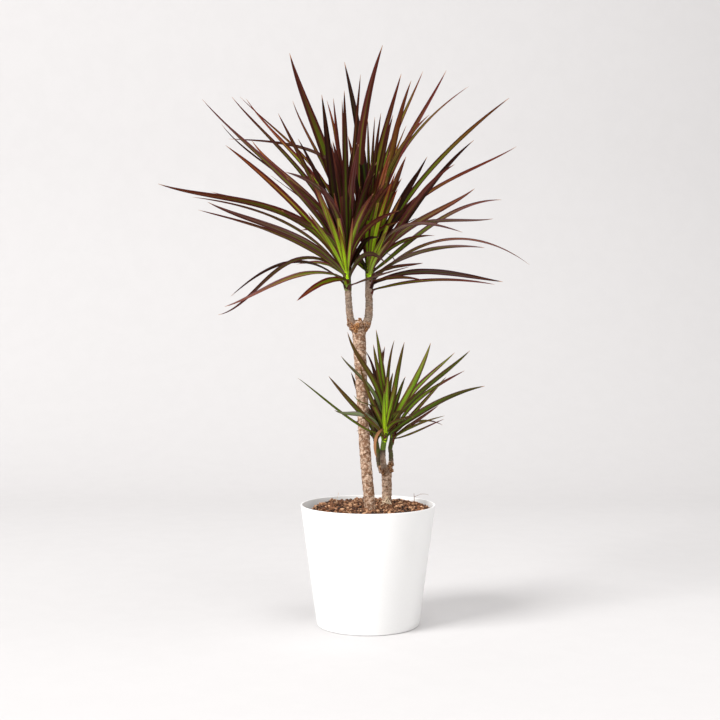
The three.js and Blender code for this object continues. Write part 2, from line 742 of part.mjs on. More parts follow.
function crown(name) {
  const head = HEADS[name];
  const radii = [head.radius, CORE_TAPER * head.radius];
  const core = climbingTube([head.foot, head.top], radii, SHOOT_SIDES, CORE_STEPS);
  const draw = drawFrom(head.seed + TURN_SEED);
  const grow = (leaves, turns) =>
    leaves.map((leaf) => {
      const turnShare = lerp(...turns, draw());
      return blade(name, head, leaf, turnShare, lerp(-TWIST_LIMIT, TWIST_LIMIT, draw()));
    });
  const blades = [...grow(head.outline, OUTLINE_TURN), ...grow(spiralLeaves(head), SPIRAL_TURN)];
  return oneBody(joined([core, ...blades]));
}

// ---- The plant ----

const plant = new THREE.Group();
plant.add(
  piece("cover_pot", coverPot()),
  piece("nursery_pot", nurseryPot()),
  piece("soil", soil()),
  piece("tall_cane", tallCane()),
  piece("short_cane", shortCane()),
  ...Object.keys(HEADS).map((name) => piece(name, crown(name))),
);

export default plant;
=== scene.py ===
"""Potted dracaena marginata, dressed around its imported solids.

Two bare canes stand in a nursery pot of coir and bark inside a tapered white cover pot. The tall cane
carries two leafy shoots and the short one three. Metres, +Z up, and the viewer stands on the -Y side.
The rows of twigs, limbs, lumps and leaves are in millimetres in the same frame, as they were measured.
"""

import logging
import math
from collections.abc import Callable, Iterator, Sequence
from contextlib import contextmanager
from dataclasses import dataclass, field
from enum import Enum
import bmesh
import bpy
import numpy as np
from mathutils import Euler, Matrix, Vector, noise


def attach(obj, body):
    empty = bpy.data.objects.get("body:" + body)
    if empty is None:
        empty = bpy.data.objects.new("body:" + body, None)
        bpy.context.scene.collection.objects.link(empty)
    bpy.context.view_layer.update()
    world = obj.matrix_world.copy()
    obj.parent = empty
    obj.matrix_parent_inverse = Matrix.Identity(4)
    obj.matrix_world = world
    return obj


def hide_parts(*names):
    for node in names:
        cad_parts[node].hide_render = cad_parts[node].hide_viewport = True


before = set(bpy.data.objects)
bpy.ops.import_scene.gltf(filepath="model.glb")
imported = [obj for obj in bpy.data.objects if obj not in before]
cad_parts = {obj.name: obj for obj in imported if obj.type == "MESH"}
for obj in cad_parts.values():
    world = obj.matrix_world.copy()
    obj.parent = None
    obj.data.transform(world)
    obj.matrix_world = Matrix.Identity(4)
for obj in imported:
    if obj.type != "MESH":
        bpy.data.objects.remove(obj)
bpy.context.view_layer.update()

LOG = logging.getLogger("dracaena")
ROOT = "root"
MM = 0.001
FULL_TURN = 2 * math.pi
GOLDEN_DEGREES = 137.5
# How near counts as being at a place, and the turn that random angles are drawn from.
TOUCH = 1e-5
LOOSE_TURN = 6.28

Span = tuple[float, float]
Point = tuple[float, float, float]
Color = tuple[float, float, float]
Socket = bpy.types.NodeSocket
Piece = bpy.types.Object


class Slot(Enum):
    """The record's slots, which say what each piece is finished in."""

    GLAZE = "white_glaze"
    PLASTIC = "pot_plastic"
    LITTER = "bark_soil"
    BARK = "cane_bark"
    RED_LEAF = "red_leaf"
    GREEN_LEAF = "green_leaf"
    DARK_LEAF = "dark_green_leaf"


# ---------------------------------------------------------------- small helpers


class Draw:
    """A repeatable run of numbers."""

    def __init__(self, seed: int) -> None:
        """Starts the run from a seed."""
        self.state = seed

    def number(self) -> float:
        """Returns the next number from 0 to 1."""
        self.state = (self.state * 1664525 + 1013904223) % 4294967296
        return self.state / 4294967296

    def between(self, low: float, high: float) -> float:
        """Returns the next number from low to high."""
        return low + (high - low) * self.number()


def lerp(low: float, high: float, share: float) -> float:
    """Returns the value a share of the way from low to high."""
    return low + (high - low) * share


def smooth(low: float, high: float, value: np.ndarray) -> np.ndarray:
    """Returns 0 below low and 1 above high, with a soft step between."""
    share = np.clip((value - low) / (high - low), 0, 1)
    return share * share * (3 - 2 * share)


def metres(rows: Sequence[Sequence[float]]) -> tuple[tuple[float, ...], ...]:
    """Returns rows of millimetres as metres."""
    return tuple(tuple(v * MM for v in row) for row in rows)


def noise_at(x: float, y: float, layer: float, scale: float) -> float:
    """Returns smooth noise from -1 to 1 at a place on the ground, in one of its layers."""
    return noise.noise(Vector((x, y, layer)) * scale)


def roughness_of(points: np.ndarray, scale: float) -> np.ndarray:
    """Returns smooth noise from -1 to 1 at each point."""
    return np.array([noise.noise(Vector(p) * scale) for p in points])


def places(piece: Piece) -> np.ndarray:
    """Returns the places of a piece's vertices, one row each."""
    found = np.empty(len(piece.data.vertices) * 3)
    piece.data.vertices.foreach_get("co", found)
    return found.reshape(-1, 3)


def directions(piece: Piece) -> np.ndarray:
    """Returns the normals of a piece's vertices, one row each."""
    found = np.empty(len(piece.data.vertices) * 3, np.float32)
    piece.data.vertex_normals.foreach_get("vector", found)
    return found.reshape(-1, 3).astype(float)


def move_to(piece: Piece, points: np.ndarray) -> None:
    """Puts a piece's vertices at new places."""
    piece.data.vertices.foreach_set("co", points.astype(np.float32).ravel())
    piece.data.update()


def note(piece: Piece, **numbers: np.ndarray | float) -> None:
    """Writes numbers for each vertex, which a finish reads by their names."""
    count = len(piece.data.vertices)
    for name, values in numbers.items():
        attribute = piece.data.attributes.get(name) or piece.data.attributes.new(name, "FLOAT", "POINT")
        attribute.data.foreach_set("value", np.broadcast_to(values, count).astype(np.float32))


def start() -> None:
    """Deselects everything, so that an operator acts only on what is added next."""
    if bpy.context.object and bpy.context.object.mode != "OBJECT":
        bpy.ops.object.mode_set(mode="OBJECT")
    bpy.ops.object.select_all(action="DESELECT")


def select_only(*pieces: Piece) -> None:
    """Selects pieces and nothing else, with the first one active."""
    start()
    for piece in pieces:
        piece.select_set(True)
    bpy.context.view_layer.objects.active = pieces[0]


def latest(name: str) -> Piece:
    """Returns the object that was just added, renamed."""
    piece = bpy.context.object
    piece.name = name
    piece.data.name = name
    return piece


def cylinder(sides: int, radius: float, depth: float, centre: Point) -> Piece:
    """Adds an upright cylinder and returns it, with its place in its mesh."""
    start()
    bpy.ops.mesh.primitive_cylinder_add(vertices=sides, radius=radius, depth=depth, location=centre)
    made = bpy.context.object
    apply_place(made)
    return made


def copy_of(template: Piece) -> Piece:
    """Returns a copy of a piece, with a mesh of its own."""
    made = template.copy()
    made.data = template.data.copy()
    bpy.context.scene.collection.objects.link(made)
    return made


@contextmanager
def editing(kind: str) -> Iterator[bmesh.types.BMesh]:
    """Edit mode on the active piece, with nothing selected.

    Args:
        kind: what is selected there, VERT, EDGE or FACE.
    """
    bpy.ops.object.mode_set(mode="EDIT")
    bpy.ops.mesh.select_mode(type=kind)
    bpy.ops.mesh.select_all(action="DESELECT")
    yield bmesh.from_edit_mesh(bpy.context.object.data)
    bpy.ops.object.mode_set(mode="OBJECT")


def pick(items: Sequence, test: Callable) -> None:
    """Selects the vertices, edges or faces of the edited mesh that pass a test, and no others."""
    bpy.ops.mesh.select_all(action="DESELECT")
    for item in items:
        if test(item):
            item.select_set(True)
    bmesh.update_edit_mesh(bpy.context.object.data)


def above(height: float) -> Callable:
    """Returns the test of whether a face lies at a height or over it."""
    return lambda face: face.calc_center_median().z > height - TOUCH


def widen(share: float) -> None:
    """Widens what is selected, about its middle."""
    bpy.ops.transform.resize(value=(share, share, 1))


def cut_in_rings(count: int) -> None:
    """Cuts the active piece, which is 1 tall, into rings of equal height."""
    with editing("EDGE") as mesh:
        pick(mesh.edges, lambda e: abs(e.verts[0].co.z - e.verts[1].co.z) > 0.5)
        bpy.ops.mesh.subdivide(number_cuts=count - 1)


def apply_place(piece: Piece) -> None:
    """Moves a piece's place, turn and scale into its mesh."""
    piece.data.transform(piece.matrix_basis)
    piece.matrix_basis = Matrix.Identity(4)


def finish_with(piece: Piece, kind: str, **settings: float | str | bool) -> None:
    """Adds a modifier and applies it.

    Args:
        piece: the piece it shapes.
        kind: the modifier's type.
        settings: its values, by name.
    """
    select_only(piece)
    modifier = piece.modifiers.new(kind.title(), kind)
    for name, value in settings.items():
        setattr(modifier, name, value)
    bpy.ops.object.modifier_apply(modifier=modifier.name)


def joined(pieces: Sequence[Piece], name: str) -> Piece:
    """Joins pieces into one and returns it."""
    select_only(*pieces)
    bpy.ops.object.join()
    return latest(name)


def soften(piece: Piece, degrees: float) -> None:
    """Shades a piece smooth, except over edges sharper than an angle."""
    select_only(piece)
    bpy.ops.object.shade_smooth_by_angle(angle=math.radians(degrees))


def coat(piece: Piece, finish: bpy.types.Material) -> Piece:
    """Gives a piece one finish and returns it."""
    piece.data.materials.clear()
    piece.data.materials.append(finish)
    return piece


def dress(piece: Piece, slot: Slot, node: str) -> None:
    """Gives a piece its place in the frame and reports it.

    Args:
        piece: the finished piece.
        slot: the record's slot that its finish belongs to. Not used.
        node: the plain solid that it stands for.
    """
    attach(piece, ROOT)
    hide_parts(node)
    LOG.info("%s: %d faces", piece.name, len(piece.data.polygons))


# ---------------------------------------------------------------- wiring of finishes

WHOLE = (0.0, 1.0)
FALLING = (1.0, 0.0)
# Which of a Mix node's many sockets a colour mix reads and gives.
MIX_SHARE, MIX_FIRST, MIX_SECOND, MIX_COLOR = 0, 6, 7, 2


class Wiring:
    """Adds shader nodes to one tree and joins their sockets."""

    def __init__(self, tree: bpy.types.NodeTree) -> None:
        """Takes a material's or a group's node tree to work in."""
        self.tree = tree

    def add(self, kind: str, **inputs: object) -> bpy.types.Node:
        """Adds a node.

        Args:
            kind: the node's type, without its ShaderNode prefix.
            inputs: values or sockets for its inputs, with _ for each space, and settings as set_NAME.

        Returns:
            The new node.
        """
        made = self.tree.nodes.new("ShaderNode" + kind)
        for name, value in inputs.items():
            if name.startswith("set_"):
                setattr(made, name[4:], value)
        for name, value in inputs.items():
            if not name.startswith("set_"):
                self.feed(made.inputs[name.replace("_", " ")], value)
        return made

    def feed(self, socket: Socket, value: object) -> None:
        """Sets an input's value, or joins another socket to it."""
        if isinstance(value, Socket):
            self.tree.links.new(value, socket)
        elif isinstance(value, tuple) and len(value) == 3 and socket.type == "RGBA":
            socket.default_value = (*value, 1)
        else:
            socket.default_value = value

    def compute(self, kind: str, first: object, second: object = 0.0) -> Socket:
        """Returns the result of a Math node."""
        made = self.add("Math", set_operation=kind)
        self.feed(made.inputs[0], first)
        self.feed(made.inputs[1], second)
        return made.outputs[0]

    def times(self, first: object, second: object) -> Socket:
        """Returns one number times another."""
        return self.compute("MULTIPLY", first, second)

    def plus(self, first: object, second: object) -> Socket:
        """Returns one number plus another."""
        return self.compute("ADD", first, second)

    def minus(self, first: object, second: object) -> Socket:
        """Returns one number minus another."""
        return self.compute("SUBTRACT", first, second)

    def most(self, first: object, second: object) -> Socket:
        """Returns the larger of two numbers."""
        return self.compute("MAXIMUM", first, second)

    def step(self, value: object, span: tuple[object, object] = WHOLE, to: Span = WHOLE) -> Socket:
        """Returns a soft step.

        Args:
            value: the number that is followed.
            span: where the step begins and ends.
            to: what it goes from and to.

        Returns:
            The stepped number.
        """
        made = self.add("MapRange", set_interpolation_type="SMOOTHSTEP", Value=value)
        for name, given in zip(("From Min", "From Max", "To Min", "To Max"), (*span, *to)):
            self.feed(made.inputs[name], given)
        return made.outputs["Result"]

    def blend(self, share: object, first: object, second: object, how: str = "MIX") -> Socket:
        """Returns two colours mixed by a share."""
        made = self.add("Mix", set_data_type="RGBA", set_blend_type=how)
        for place, given in ((MIX_SHARE, share), (MIX_FIRST, first), (MIX_SECOND, second)):
            self.feed(made.inputs[place], given)
        return made.outputs[MIX_COLOR]

    def noted(self, name: str) -> Socket:
        """Returns a number that the mesh carries."""
        return self.add("Attribute", set_attribute_name=name).outputs["Fac"]

    def mottle(self, effects: "Effects", scale: float, grit: float) -> tuple[Socket, Socket]:
        """Returns the blotches and the grit of the shared mottle."""
        place = self.add("TexCoord").outputs["Object"]
        made = self.add("Group", set_node_tree=effects.mottle, Vector=place, Scale=scale, Grit=grit)
        return made.outputs["Blotch"], made.outputs["Grit"]

    def fibres(self, effects: "Effects", lines: float, runs: float, offset: object) -> Socket:
        """Returns the lines of the shared leaf fibres."""
        made = self.add("Group", set_node_tree=effects.fibres, Lines=lines, Runs=runs, Offset=offset)
        return made.outputs["Lines"]

    def skin(
        self, shader: bpy.types.Node, color: Socket, roughness: Socket, height: Socket, bump: Span
    ) -> None:
        """Joins a colour, a roughness and a bump to a Principled shader.

        Args:
            shader: the shader.
            color: its base colour.
            roughness: its roughness.
            height: the height of its bump.
            bump: the bump's strength, and its depth in metres.
        """
        strength, depth = bump
        normal = self.add("Bump", Strength=strength, Distance=depth, Height=height).outputs[0]
        for name, value in (("Base Color", color), ("Roughness", roughness), ("Normal", normal)):
            self.feed(shader.inputs[name], value)


def new_group(
    name: str, inputs: Sequence[tuple[str, str, object]], outputs: Sequence[str]
) -> tuple[Wiring, bpy.types.Node, bpy.types.Node]:
    """Starts a shader node group.

    Args:
        name: the group's name.
        inputs: its inputs, each a name, a socket type and a starting value.
        outputs: the names of the numbers that it puts out.

    Returns:
        The wiring of its tree, its input node and its output node.
    """
    tree = bpy.data.node_groups.new(name, "ShaderNodeTree")
    for label, kind, value in inputs:
        socket = tree.interface.new_socket(name=label, in_out="INPUT", socket_type="NodeSocket" + kind)
        if value is not None:
            socket.default_value = value
    for label in outputs:
        tree.interface.new_socket(name=label, in_out="OUTPUT", socket_type="NodeSocketFloat")
    return Wiring(tree), tree.nodes.new("NodeGroupInput"), tree.nodes.new("NodeGroupOutput")


def mottle_group() -> bpy.types.NodeTree:
    """Builds the group of soft blotches with fine grit over them, which every surface here has."""
    inputs = [("Vector", "Vector", None), ("Scale", "Float", 60.0), ("Grit", "Float", 8.0)]
    wires, given, result = new_group("mottle", inputs, ["Blotch", "Grit"])
    place, scale, finer = given.outputs["Vector"], given.outputs["Scale"], given.outputs["Grit"]
    broad = wires.add("TexNoise", Vector=place, Scale=scale, Detail=4.0, Roughness=0.6)
    grit = wires.add("TexNoise", Vector=place, Scale=wires.times(scale, finer), Detail=3.0, Roughness=0.7)
    wires.feed(result.inputs["Blotch"], wires.step(broad.outputs["Fac"], (0.32, 0.68)))
    wires.feed(result.inputs["Grit"], wires.step(grit.outputs["Fac"], (0.3, 0.7)))
    return wires.tree


def fibre_group() -> bpy.types.NodeTree:
    """Builds the group of fine lines that run the length of a leaf, by its own across and along numbers."""
    inputs = [("Lines", "Float", 40.0), ("Runs", "Float", 3.0), ("Offset", "Float", 0.0)]
    wires, given, result = new_group("fibres", inputs, ["Lines"])
    across = wires.times(wires.noted("across"), given.outputs["Lines"])
    along = wires.times(wires.noted("along"), given.outputs["Runs"])
    where = wires.add("CombineXYZ", X=across, Y=along, Z=given.outputs["Offset"]).outputs[0]
    lines = wires.add("TexNoise", Vector=where, Scale=1.0, Detail=2.0, Roughness=0.6)
    wires.feed(result.inputs["Lines"], wires.step(lines.outputs["Fac"], (0.3, 0.7)))
    return wires.tree


@dataclass(frozen=True)
class Effects:
    """The shader node groups that several finishes share."""

    mottle: bpy.types.NodeTree = field(default_factory=mottle_group)
    fibres: bpy.types.NodeTree = field(default_factory=fibre_group)


def surface(name: str) -> tuple[bpy.types.Material, Wiring, bpy.types.Node, bpy.types.Node]:
    """Starts a material.

    Args:
        name: the material's name.

    Returns:
        The material, the wiring of its tree, its Principled shader and its output node.
    """
    made = bpy.data.materials.new(name)
    made.use_nodes = True
    made.node_tree.nodes.clear()
    wires = Wiring(made.node_tree)
    shader = wires.add("BsdfPrincipled")
    return made, wires, shader, wires.add("OutputMaterial", Surface=shader.outputs[0])


# ---------------------------------------------------------------- finishes


@dataclass(frozen=True)
class LeafFinish:
    """Glossy strap leaves: a green middle, dark red margins, a lime root and a dry tip.

    A pair in lines is how many lines lie across a leaf and how many runs they make along it. Spans are
    shares of a leaf's length or half width, and shades are what its colour is multiplied by.
    """

    name: str
    middle: Color
    olive: Color
    margin: Color
    russet: Color
    root: Color
    under: Color
    # The orange below is a painted backlight: the glow of light through a leaf, laid into its colour.
    lit: Color
    # The pale colour below is a painted sheen: a highlight laid into the colour of the arching leaves.
    bloom: Color = (0.205, 0.150, 0.152)
    dry: Color = (0.42, 0.20, 0.095)
    broad_lines: Span = (4.0, 2.2)
    fine_lines: Span = (15.0, 1.5)
    line_seeds: Span = (50.0, 90.0)
    mottle: Span = (40.0, 9.0)
    edge_pull: float = 0.45
    wander: float = 0.55
    red_fade: Span = (0.18, 0.22)
    streaks: Span = (0.15, 0.85)
    root_length: Span = (0.22, 0.84)
    root_width: Span = (0.3, 0.85)
    rim_wander: float = 0.5
    rim_fade: float = 0.13
    rim_shares: Span = (0.0, 0.97)
    under_share: float = 0.35
    bloom_lines: Span = (0.3, 0.9)
    bloom_shares: Span = (0.15, 0.85)
    fine_shades: Span = (0.55, 1.35)
    broad_shades: Span = (0.7, 1.25)
    tone_and_shade_darkening: float = 0.78
    dry_tip: Span = (0.955, 0.99)
    roughness: Span = (0.34, 0.5)
    dry_roughness: float = 0.8
    bump: Span = (0.5, 0.0003)
    specular: float = 0.06
    glow: float = 0.2
    glow_tint: float = 0.7

    def grown(self, wires: Wiring, broad: Socket, fine: Socket) -> Socket:
        """Colours a leaf as it grew: green, then red to its edge and tip, with a lime root and a dark rim.

        Args:
            wires: the material's wiring.
            broad: the leaf's broad lines.
            fine: its fine lines.

        Returns:
            The colour.
        """
        along = wires.noted("along")
        edge = wires.compute("ABSOLUTE", wires.noted("across"))
        wander = wires.minus(broad, 0.5)
        reach = wires.plus(along, wires.times(edge, self.edge_pull))
        reach = wires.plus(reach, wires.times(wander, self.wander))
        limit, (before, after) = wires.noted("green"), self.red_fade
        red = wires.step(reach, (wires.minus(limit, before), wires.plus(limit, after)))
        fresh = wires.times(wires.plus(wires.noted("tone"), fine), 0.5)
        leafy = wires.blend(fresh, self.olive, self.middle)
        ruddy = wires.blend(wires.step(broad, self.streaks), self.margin, self.russet)
        # Painted backlight: on some leaves, drawn at random, the orange glow of light through them is laid
        # into their red.
        ruddy = wires.blend(wires.noted("lit"), ruddy, self.lit)
        color = wires.blend(red, leafy, ruddy)
        pale = wires.step(along, self.root_length, FALLING)
        pale = wires.times(pale, wires.step(edge, self.root_width, FALLING))
        color = wires.blend(wires.times(pale, wires.noted("youth")), color, self.root)
        rim = wires.noted("rim")
        outward = wires.plus(edge, wires.times(wander, self.rim_wander))
        dark = wires.step(outward, (rim, wires.plus(rim, self.rim_fade)), self.rim_shares)
        return wires.blend(dark, color, self.margin)

    def weathered(self, wires: Wiring, color: Socket, broad: Socket, fine: Socket) -> Socket:
        """Lays the under side's tint, the painted sheen, the streaks, the darkening and the dry tip over a
        leaf's colour.

        Args:
            wires: the material's wiring.
            color: the leaf's colour.
            broad: its broad lines.
            fine: its fine lines.

        Returns:
            The colour with all that on it.
        """
        color = wires.blend(wires.times(wires.noted("under"), self.under_share), color, self.under)
        # Painted sheen: a pale highlight mixed in streaks into the leaves that carry the sheen number, most
        # of all the arching ones.
        painted_sheen_share = wires.times(wires.noted("bloom"), wires.step(broad, self.bloom_lines, self.bloom_shares))
        color = wires.blend(painted_sheen_share, color, self.bloom)
        shade = wires.step(fine, WHOLE, self.fine_shades)
        shade = wires.times(shade, wires.step(broad, WHOLE, self.broad_shades))
        # The dark number darkens a leaf, partly as its own tone and partly as painted shade for the crown's
        # dark inside. Under 0, on young leaves, it is a painted brightening.
        shade = wires.times(shade, wires.minus(1.0, wires.times(wires.noted("dark"), self.tone_and_shade_darkening)))
        grey = wires.add("CombineColor", Red=shade, Green=shade, Blue=shade).outputs[0]
        color = wires.blend(1.0, color, grey, "MULTIPLY")
        tip = wires.step(wires.noted("along"), self.dry_tip)
        return wires.blend(wires.most(tip, wires.noted("dry")), color, self.dry)

    def build(self, effects: Effects) -> bpy.types.Material:
        """Builds the material.

        Args:
            effects: the shared node groups.

        Returns:
            The material. It reads the numbers that LeafHead.mark() notes on the mesh.
        """
        made, wires, shader, output = surface(self.name)
        tone = wires.noted("tone")
        broad_seed, fine_seed = (wires.times(tone, seed) for seed in self.line_seeds)
        broad = wires.fibres(effects, *self.broad_lines, broad_seed)
        fine = wires.fibres(effects, *self.fine_lines, fine_seed)
        color = self.weathered(wires, self.grown(wires, broad, fine), broad, fine)
        _, grit = wires.mottle(effects, *self.mottle)
        rough = wires.step(grit, WHOLE, self.roughness)
        rough = wires.most(rough, wires.times(wires.noted("dry"), self.dry_roughness))
        wires.skin(shader, color, rough, fine, self.bump)
        shader.inputs["Specular IOR Level"].default_value = self.specular
        # The translucent layer passes real light. Its colour leans toward the painted backlight's orange.
        through = wires.add("BsdfTranslucent", Color=wires.blend(self.glow_tint, color, self.lit))
        both = wires.add("MixShader", Fac=self.glow)
        wires.feed(both.inputs[1], shader.outputs[0])
        wires.feed(both.inputs[2], through.outputs[0])
        wires.feed(output.inputs["Surface"], both.outputs[0])
        return made


@dataclass(frozen=True)
class BarkFinish:
    """Pale corky bark with leaf scars, orange callus and green young growth."""

    name: str
    pale: Color = (0.82, 0.595, 0.44)
    tan: Color = (0.275, 0.138, 0.074)
    crack: Color = (0.070, 0.040, 0.022)
    callus: Color = (0.70, 0.33, 0.12)
    # The dark brown below is painted shade for the crevices between callus lumps.
    painted_crevice_shade: Color = (0.16, 0.065, 0.030)
    cork: Color = (0.44, 0.29, 0.19)
    green: Color = (0.075, 0.100, 0.018)
    husk: Color = (0.055, 0.030, 0.018)
    lime: Color = (0.190, 0.320, 0.030)
    shoot: Color = (0.36, 0.275, 0.21)
    broad: Span = (85.0, 6.0)
    patches: Span = (240.0, 4.0)
    patch_share: float = 0.75
    plate_share: float = 0.5
    pale_span: Span = (0.2, 0.95)
    shoot_shares: Span = (0.45, 0.95)
    cork_span: Span = (0.25, 0.75)
    painted_crevice_shade_span: Span = (0.12, 0.6)
    husk_span: Span = (0.3, 0.7)
    scar_span: Span = (0.1, 0.9)
    scar_shares: Span = (0.3, 1.0)
    speck_span: Span = (0.56, 0.86)
    speck_shares: Span = (0.0, 0.8)
    roughness: Span = (0.72, 0.95)
    scar_sink: float = 0.6
    bump: Span = (0.7, 0.0008)
    specular: float = 0.25

    def build(self, effects: Effects) -> bpy.types.Material:
        """Builds the material.

        Args:
            effects: the shared node groups.

        Returns:
            The material. It reads the mesh's scar, plate, callus, wart, fresh, shoot and lime numbers.
        """
        made, wires, shader, _ = surface(self.name)
        blotch, grit = wires.mottle(effects, *self.broad)
        patch, patch_grit = wires.mottle(effects, *self.patches)
        light = wires.times(patch, self.patch_share)
        light = wires.plus(light, wires.times(wires.noted("plate"), self.plate_share))
        color = wires.blend(wires.step(light, self.pale_span), self.tan, self.pale)
        young = wires.times(wires.noted("shoot"), wires.step(blotch, WHOLE, self.shoot_shares))
        color = wires.blend(young, color, self.shoot)
        corky = wires.blend(wires.step(blotch, self.cork_span), self.callus, self.cork)
        # Painted shade: the sunk crevices between the callus lumps are coloured dark.
        lump = wires.blend(wires.step(wires.noted("wart"), self.painted_crevice_shade_span), self.painted_crevice_shade, corky)
        color = wires.blend(wires.noted("callus"), color, lump)
        growth = wires.blend(wires.step(patch, self.husk_span), self.green, self.husk)
        growth = wires.blend(wires.noted("lime"), growth, self.lime)
        color = wires.blend(wires.noted("fresh"), color, growth)
        scar = wires.noted("scar")
        dark = wires.times(scar, wires.step(grit, self.scar_span, self.scar_shares))
        speck = wires.step(patch_grit, self.speck_span, self.speck_shares)
        color = wires.blend(wires.most(dark, speck), color, self.crack)
        height = wires.minus(patch_grit, wires.times(scar, self.scar_sink))
        wires.skin(shader, color, wires.step(grit, WHOLE, self.roughness), height, self.bump)
        shader.inputs["Specular IOR Level"].default_value = self.specular
        return made


@dataclass(frozen=True)
class LitterFinish:
    """Loose coir and bark: each bit has its own brown."""

    name: str
    dark: Color = (0.032, 0.013, 0.007)
    brown: Color = (0.27, 0.108, 0.046)
    light: Color = (0.74, 0.43, 0.24)
    straw: Color = (0.85, 0.68, 0.48)
    mottle: Span = (260.0, 5.0)
    mottling: float = 0.3
    brown_span: Span = (0.05, 0.55)
    light_span: Span = (0.55, 1.0)
    straw_span: Span = (1.2, 1.6)
    roughness: Span = (0.75, 0.98)
    bump: Span = (0.6, 0.0006)

    def build(self, effects: Effects) -> bpy.types.Material:
        """Builds the material.

        Args:
            effects: the shared node groups.

        Returns:
            The material. It reads the mesh's own tint number.
        """
        made, wires, shader, _ = surface(self.name)
        blotch, grit = wires.mottle(effects, *self.mottle)
        tint = wires.plus(wires.noted("tint"), wires.times(wires.minus(blotch, 0.5), self.mottling))
        color = self.dark
        browns = ((self.brown_span, self.brown), (self.light_span, self.light), (self.straw_span, self.straw))
        for span, lighter in browns:
            color = wires.blend(wires.step(tint, span), color, lighter)
        wires.skin(shader, color, wires.step(grit, WHOLE, self.roughness), grit, self.bump)
        return made


@dataclass(frozen=True)
class WallFinish:
    """A pot's moulded or glazed wall, with faint unevenness and dust."""

    name: str
    color: Color
    dusty: Color
    roughness: Span
    waviness: float
    coat: float = 0.0
    coat_roughness: float = 0.22
    mottle: Span = (16.0, 30.0)
    dust_shares: Span = (0.1, 0.6)
    wave_depth: float = 0.0004

    def build(self, effects: Effects) -> bpy.types.Material:
        """Builds the material.

        Args:
            effects: the shared node groups.

        Returns:
            The material.
        """
        made, wires, shader, _ = surface(self.name)
        blotch, grit = wires.mottle(effects, *self.mottle)
        dust = wires.times(grit, wires.step(blotch, WHOLE, self.dust_shares))
        color = wires.blend(dust, self.color, self.dusty)
        rough = wires.step(blotch, WHOLE, self.roughness)
        wires.skin(shader, color, rough, blotch, (self.waviness, self.wave_depth))
        shader.inputs["Coat Weight"].default_value = self.coat
        shader.inputs["Coat Roughness"].default_value = self.coat_roughness
        return made


LEAF_FINISHES = {
    Slot.RED_LEAF: LeafFinish(
        "red_edged_leaf",
        middle=(0.190, 0.270, 0.003),
        olive=(0.110, 0.085, 0.004),
        margin=(0.120, 0.0110, 0.0100),
        russet=(0.300, 0.066, 0.015),
        root=(0.42, 0.74, 0.008),
        under=(0.110, 0.036, 0.020),
        lit=(0.470, 0.132, 0.017),
    ),
    Slot.GREEN_LEAF: LeafFinish(
        "green_leaf",
        middle=(0.205, 0.440, 0.009),
        olive=(0.120, 0.210, 0.014),
        margin=(0.150, 0.006, 0.020),
        russet=(0.160, 0.050, 0.020),
        root=(0.60, 0.92, 0.012),
        under=(0.150, 0.200, 0.030),
        lit=(0.280, 0.360, 0.040),
        bloom=(0.300, 0.350, 0.250),
    ),
    Slot.DARK_LEAF: LeafFinish(
        "dark_green_leaf",
        middle=(0.090, 0.180, 0.010),
        olive=(0.060, 0.085, 0.012),
        margin=(0.105, 0.012, 0.014),
        russet=(0.110, 0.032, 0.015),
        root=(0.27, 0.44, 0.015),
        under=(0.100, 0.115, 0.040),
        lit=(0.220, 0.140, 0.030),
    ),
}
GLAZE = WallFinish("white_satin_glaze", (0.90, 0.90, 0.895), (0.87, 0.865, 0.855), (0.32, 0.45), 0.12, 0.35)
PLASTIC = WallFinish("dark_pot_plastic", (0.030, 0.030, 0.031), (0.09, 0.075, 0.06), (0.45, 0.6), 0.2)


# ---------------------------------------------------------------- pots


def tapered_shell(
    name: str, sides: int, radii: Sequence[float], heights: Sequence[float], wall: float
) -> Piece:
    """Models an open, tapered pot from a cylinder.

    Args:
        name: the pot's name.
        sides: how many sides it has.
        radii: its radius at the foot and at the rim, and its inner radius at the floor.
        heights: where its foot, its floor and its rim are.
        wall: how thick its wall is.

    Returns:
        The pot, with sharp edges.
    """
    foot_radius, rim_radius, floor_radius = radii
    foot, floor, top = heights
    pot = cylinder(sides, foot_radius, top - foot, (0, 0, (foot + top) / 2))
    with editing("FACE") as mesh:
        pick(mesh.faces, above(top))
        widen(rim_radius / foot_radius)
        bpy.ops.mesh.inset(thickness=wall)
        bpy.ops.mesh.extrude_region_move(TRANSFORM_OT_translate={"value": (0, 0, floor - top)})
        widen(floor_radius / (rim_radius - wall))
    return latest(name)


@dataclass
class CoverPot:
    """The tapered white pot that everything stands in."""

    height: float = 0.195
    rim_radius: float = 0.110
    base_radius: float = 0.0835
    wall: float = 0.003
    floor: float = 0.005
    foot_round: float = 0.0025
    rim_round: float = 0.0012
    sides: int = 160
    longest_side: float = 0.02
    sharp: float = 35

    def build(self) -> Piece:
        """Models the pot.

        Returns:
            The finished pot.
        """
        inside = lerp(self.base_radius, self.rim_radius, self.floor / self.height) - self.wall
        radii, heights = (self.base_radius, self.rim_radius, inside), (0, self.floor, self.height)
        pot = tapered_shell("white_cover_pot", self.sides, radii, heights, self.wall)
        for height, offset, segments in (
            (0, self.foot_round, 5),
            (self.height, self.rim_round, 4),
            (self.floor, 2 * self.foot_round, 4),
        ):
            self.round_rings(height, offset, segments)
        soften(pot, self.sharp)
        return pot

    def round_rings(self, height: float, offset: float, segments: int) -> None:
        """Bevels the rings at a height."""
        with editing("EDGE") as mesh:
            pick(mesh.edges, lambda e: self.on_ring(e, height))
            bpy.ops.mesh.bevel(offset=offset, segments=segments, profile=0.5)

    def on_ring(self, edge: bmesh.types.BMEdge, height: float) -> bool:
        """Returns whether an edge is part of a ring at a height."""
        level = all(abs(v.co.z - height) < TOUCH for v in edge.verts)
        return level and edge.calc_length() < self.longest_side


